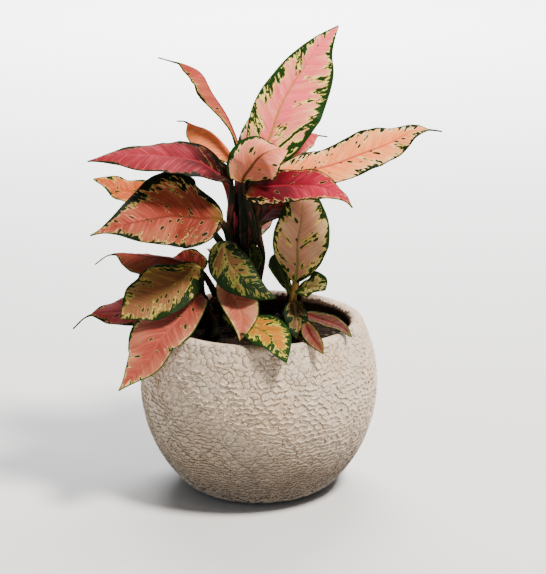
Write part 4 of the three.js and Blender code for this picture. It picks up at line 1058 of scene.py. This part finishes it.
def make_pot(material):
    """The crackled skin is a honeycomb of flakes over the angle round the pot and the distance walked up
    its outline. A flake is a ring on the crack's bottom, shared with its neighbours, a ring set in from it
    that curls up most along the lower side, and a middle point. Higher up, cracks are sunk; lower down,
    most have a lipped edge that stands up as a ridge, made pale in the glaze by a painted highlight.
    Closed edges have their crack filled, which joins flakes into larger ones. Bare clay goes on from the
    last zigzag into the pot, and a plain base closes it below."""
    rng = np.random.default_rng(7)
    r_line, z_line, s_line, out_line = pot_outline()
    level, tall, turn, walk, stray, apex = comb_corners(rng, s_line[-1])
    zig, up, corner, on_lip = crack_openings(rng, level, turn, walk, apex)
    ring, row, column, used, zigzag = flake_rings()

    def middle(from_turn, from_walk, to_turn, to_walk, wide, high):
        between = (to_turn - from_turn + math.pi) % TURN - math.pi
        return (from_turn + between / 2 + wide * rng.uniform(-1, 1, turn.shape),
                (from_walk + to_walk) / 2 + high * rng.uniform(-1, 1, turn.shape))
    zig_turn, zig_walk = middle(turn, walk, np.roll(turn, -1, 1), np.roll(walk, -1, 1), 0.1 * COLUMN * stray,
                                0.19 * tall[:, None] * stray)
    up_turn, up_walk = middle(np.roll(turn, 1, 0), np.roll(walk, 1, 0), turn, walk, 0.28 * COLUMN * stray,
                              0.06 * tall[:, None])

    # the points that flakes share, on the bottom of the cracks or on the crest of a lipped edge
    all_turn = np.concatenate([turn.ravel(), zig_turn.ravel(), up_turn[used]])
    all_walk = np.concatenate([walk.ravel(), zig_walk.ravel(), up_walk[used]])
    all_open = np.concatenate([corner.ravel(), zig.ravel(), up[used]])
    all_share = np.interp(all_walk, level, level / level[-1])
    border = LIPPED_TO + 0.12 * ripple(all_turn, all_walk, 6, 12, 30, 0.2)
    all_lipped = ramp(border - all_share, -0.04, 0.06) * (rng.uniform(0, 1, len(all_turn)) < LIPPED_SHARE)
    depth = CRACK_DEPTH * np.minimum(1, np.interp(all_walk, level, tall) / 2.4)
    crest = RIDGE_HEIGHT * np.where(np.arange(len(all_turn)) < 2 * turn.size, 1.0, -0.4)
    all_height = all_open * mix(-depth, crest, all_lipped)

    # each flake's own rim and middle
    ring_turn, ring_walk = all_turn[ring], all_walk[ring]
    ring_open, lipped = all_open[ring], all_lipped[ring]
    home = (column * COLUMN)[:, None]
    ring_turn = home + (ring_turn - home + math.pi) % TURN - math.pi
    mid_turn, mid_walk = ring_turn.mean(1, keepdims=True), ring_walk.mean(1, keepdims=True)
    rise = mid_walk - ring_walk
    away = np.hypot((mid_turn - ring_turn) * np.interp(mid_walk, s_line, r_line), rise)
    flake_tall = tall[row][:, None]
    low = ramp(rise / flake_tall, -0.4, 0.4)
    inset = np.minimum(mix(*RIM_INSET, low) * flake_tall + 0.03, 0.42 * away) / away
    flakes = len(row)
    base = rng.uniform(-FLAKE_STEP, FLAKE_STEP, (flakes, 1))
    curl = rng.uniform(*CURLS, (flakes, 1)) * np.minimum(1, flake_tall / 3) * mix(0.3, 1.0, low)
    flatter = 1 - 0.8 * on_lip[row]
    rim_height = (base + ring_open * mix(curl, mix(*LIPPED_RIM, low), lipped)) * flatter
    mid_height = (base + FLAKE_PUFF * rng.uniform(-1, 1, (flakes, 1))) * flatter
    tone = rng.uniform(0, 1, flakes)

    every_turn = np.concatenate([all_turn, mix(ring_turn, mid_turn, inset).ravel(), mid_turn.ravel()])
    every_walk = np.concatenate([all_walk, mix(ring_walk, mid_walk, inset).ravel(), mid_walk.ravel()])
    every_walk = np.minimum(every_walk, s_line[-1])
    height = np.concatenate([all_height, rim_height.ravel(), mid_height.ravel()])
    r = np.interp(every_walk, s_line, r_line) + height * np.interp(every_walk, s_line, out_line[:, 0])
    z = np.interp(every_walk, s_line, z_line) + height * np.interp(every_walk, s_line, out_line[:, 1])
    skin = np.stack([r * np.cos(every_turn), r * np.sin(every_turn), z], -1)
    below, above = plain_rings(rng, r_line, z_line, s_line)
    ends = np.array([[0, 0, 0], [0, 0, POT_FLOOR]], float)
    points = np.concatenate([skin, below.reshape(-1, 3), above.reshape(-1, 3), ends])

    # faces
    shared, plain = len(all_turn), len(skin)
    rim = shared + np.arange(flakes * RING).reshape(flakes, RING)
    heart = shared + flakes * RING + np.arange(flakes)
    walls = np.stack([ring, np.roll(ring, -1, 1), np.roll(rim, -1, 1), rim], -1).reshape(-1, 4)
    tops = np.stack([rim, np.roll(rim, -1, 1), np.repeat(heart[:, None], RING, 1)], -1).reshape(-1, 3)
    rings = plain + np.arange((len(below) + len(above)) * 2 * COLUMNS).reshape(-1, 2 * COLUMNS)
    quads = np.concatenate([walls, strips(np.concatenate([rings[:len(below)], zigzag[:1]])),
                            strips(np.concatenate([zigzag[-1:], rings[len(below):]]))])
    triangles = np.concatenate([tops, fan(rings[0], len(points) - 2)[:, [0, 2, 1]],
                                fan(rings[-1], len(points) - 1)])
    soft = np.arange(len(quads) + len(triangles)) >= len(walls)

    # marks for the glaze; bare clay starts where the distance past the glaze's ragged end is above 0
    glaze_end = np.interp(every_turn % TURN, np.linspace(0, TURN, COLUMNS + 1),
                          np.append(walk[-1], walk[-1, 0]))
    inside = np.concatenate([np.full(len(below) * 2 * COLUMNS, -FAR),
                             np.repeat(np.linspace(1.0, FAR, len(above)), 2 * COLUMNS), [-FAR, FAR]])
    # crack is the cracks' own brown at open cracks, and painted shade along each flake's upper side under a
    # lipped ridge; ridge marks where the glaze gets a painted highlight
    marks = {
        "crack": (all_open * mix(1.0, 0.3, all_lipped), ring_open * lipped * mix(0.95, 0.1, low), 0.0),
        "ridge": (all_open * all_lipped, 0.0 * ring_open, 0.0),
        "flake": (np.full(shared, 0.5), np.repeat(tone, RING), tone),
    }
    marks = {mark: np.concatenate([on_shared, np.ravel(on_rim), on_heart + np.zeros(flakes),
                                   np.full(len(inside), 0.5 if mark == "flake" else 0.0)])
             for mark, (on_shared, on_rim, on_heart) in marks.items()}
    marks["past_glaze"] = np.concatenate([every_walk - glaze_end, inside])
    put_piece("crackle_pot", points, quads, triangles, material, "glaze", ["pot"], marks, soft)


def glaze_finish():
    """Chalky cream glaze: flakes that differ a little in tone, brown cracks with painted shade under the
    lipped ridges, a painted highlight on the ridges, a web of hair cracks, fine pits, painted shade that
    greys and darkens it towards the foot, and bare brown clay inside past a ragged edge."""
    material, tree, sockets = new_material("crackle_glaze")
    place = object_place(tree)
    crack, ridge, flake, past = (attribute(tree, mark, "Fac")
                                 for mark in ("crack", "ridge", "flake", "past_glaze"))
    cloud, grit = noise(place, 22.0, 3.0, 0.55), noise(place, 900.0, 3.0, 0.65)
    streaks = noise(fields("ShaderNodeMapping", {"Vector": place, "Scale": (1, 1, 0.3)})[0], 320.0, 3.0, 0.6)
    height = split(place)[2]
    # painted shade: the glaze greys and darkens towards the foot, where the pot's lower side lies in shadow
    color = blend(grade(height, 0.0, 0.085), tint("54463a"), tint("dccab4"))
    color = blend(grade(cloud, 0.38, 0.66), color, (1.0, 0.93, 0.85, 1.0), "MULTIPLY")
    tone = grade(flake, 0.0, 1.0, 0.94, 1.05, "LINEAR") + grade(streaks, 0.3, 0.7, -0.05, 0.05, "LINEAR")
    color = blend(1.0, color, grey(tone), "MULTIPLY")

    # hair cracks: the edges of small cells, on a place that a noise bends
    def work(operation, first, second):
        return fields("ShaderNodeVectorMath", {0: first, 1: second}, operation=operation)[0]
    bend = fields("ShaderNodeTexNoise", {"Vector": place, "Scale": 300.0, "Detail": 2.0})["Color"]
    bend = work("MULTIPLY", work("SUBTRACT", bend, (0.5, 0.5, 0.5)), (0.003, 0.003, 0.0015))
    web = fields("ShaderNodeTexVoronoi", {"Vector": work("ADD", place, bend), "Scale": 420.0},
                 feature="DISTANCE_TO_EDGE")["Distance"]
    hair = grade(web, 0.09, 0.02) * grade(noise(place, 130.0), 0.42, 0.56, 0.35, 1.0)
    color = blend(grade(grit, 0.64, 0.72, 0.0, 0.35), color, tint("8f7a66"))
    color = blend(hair * 0.75, color, (0.52, 0.46, 0.40, 1.0), "MULTIPLY")

    # the dark line is the cracks' brown and, under the lipped ridges, painted shade; the pale ridge colour is
    # a painted highlight
    line = grade(crack + (grit - 0.5) * 0.4, 0.3, 0.85) * grade(height, 0.07, 0.1, 1.0, 0.7)
    color = blend(grade(ridge, 0.4, 1.0, 0.0, 0.6), color, tint("f0e4d4"))
    color = blend(line, color, (0.42, 0.37, 0.32, 1.0), "MULTIPLY")
    clay = blend(grade(cloud, 0.35, 0.65), tint("3a2c22"), tint("57463a"))
    clay = blend(grade(grit, 0.4, 0.7), clay, tint("6a5848"))
    bare = grade(past + (noise(place, 420.0, 4.0, 0.7) - 0.5) * 5.0, -0.5, 0.4)
    finish(sockets, blend(bare, color, clay), grade(bare, 0.0, 1.0, 0.55, 0.85),
           grit + streaks * 0.8 - hair * 1.2, 0.5, 0.0004, 0.35)
    return material


make_pot(glaze_finish())


# ---------------------------------------------------------------- floor, light and camera

FLOOR_HALF = 12
PLANT_HEART = (0, 0, 0.13)
FOCAL_PIXELS, PICTURE_HEIGHT, SENSOR = 1869, 574, 36  # the lens, in pixels of the picture and in mm
CAMERA_PLACE, CAMERA_DIP = (0.009, -1.1386, 0.4462), 15.5  # metres, and degrees below level


def make_floor():
    """A pale, matt floor with the faintest clouds."""
    material, tree, sockets = new_material("pale_floor")
    clouds = noise(object_place(tree), 3.0)
    feed(blend(clouds, (0.8, 0.8, 0.8, 1), (0.84, 0.84, 0.84, 1)), sockets["Base Color"])
    feed(0.9, sockets["Roughness"])
    mesh = bpy.data.meshes.new("floor")
    corners = [(x * FLOOR_HALF, y * FLOOR_HALF, 0) for x, y in ((-1, -1), (1, -1), (1, 1), (-1, 1))]
    mesh.from_pydata(corners, [], [(0, 1, 2, 3)])
    mesh.materials.append(material)
    floor = bpy.data.objects.new("floor", mesh)
    bpy.context.scene.collection.objects.link(floor)


def add_lamp(name, place, target, size, power, color=(1, 1, 1), spread=180):
    """A round lamp at a place, turned to a target, with its size in metres, watts, colour and spread."""
    data = bpy.data.lights.new(name, "AREA")
    data.spread = math.radians(spread)
    data.shape, data.size, data.energy, data.color = "DISK", size, power, color
    lamp = bpy.data.objects.new(name, data)
    ahead = unit(np.asarray(target, float) - np.asarray(place, float))
    lamp.location = place
    lamp.rotation_euler = (math.acos(-ahead[2]), 0, math.atan2(ahead[1], ahead[0]) - math.pi / 2)
    bpy.context.scene.collection.objects.link(lamp)


make_floor()
add_lamp("key", (0.8, -0.55, 1.75), PLANT_HEART, 0.45, 82, (1.0, 0.93, 0.85))
add_lamp("fill", (-1.3, -0.9, 0.7), PLANT_HEART, 1.2, 1)
add_lamp("background", (0, 2.6, 2.2), (0, 2.3, 0), 2.6, 200, spread=100)
world = bpy.data.worlds.new("studio")
world.use_nodes = True
world.node_tree.nodes["Background"].inputs["Color"].default_value = (0.93, 0.96, 1, 1)
world.node_tree.nodes["Background"].inputs["Strength"].default_value = 0.19
bpy.context.scene.world = world

camera_data = bpy.data.cameras.new("camera")
camera_data.sensor_fit = "AUTO"
camera_data.sensor_width = SENSOR
camera_data.lens = FOCAL_PIXELS / PICTURE_HEIGHT * SENSOR
camera = bpy.data.objects.new("camera", camera_data)
camera.location = CAMERA_PLACE
camera.rotation_euler = (math.radians(90 - CAMERA_DIP), 0, 0)
bpy.context.scene.collection.objects.link(camera)
bpy.context.scene.camera = camera
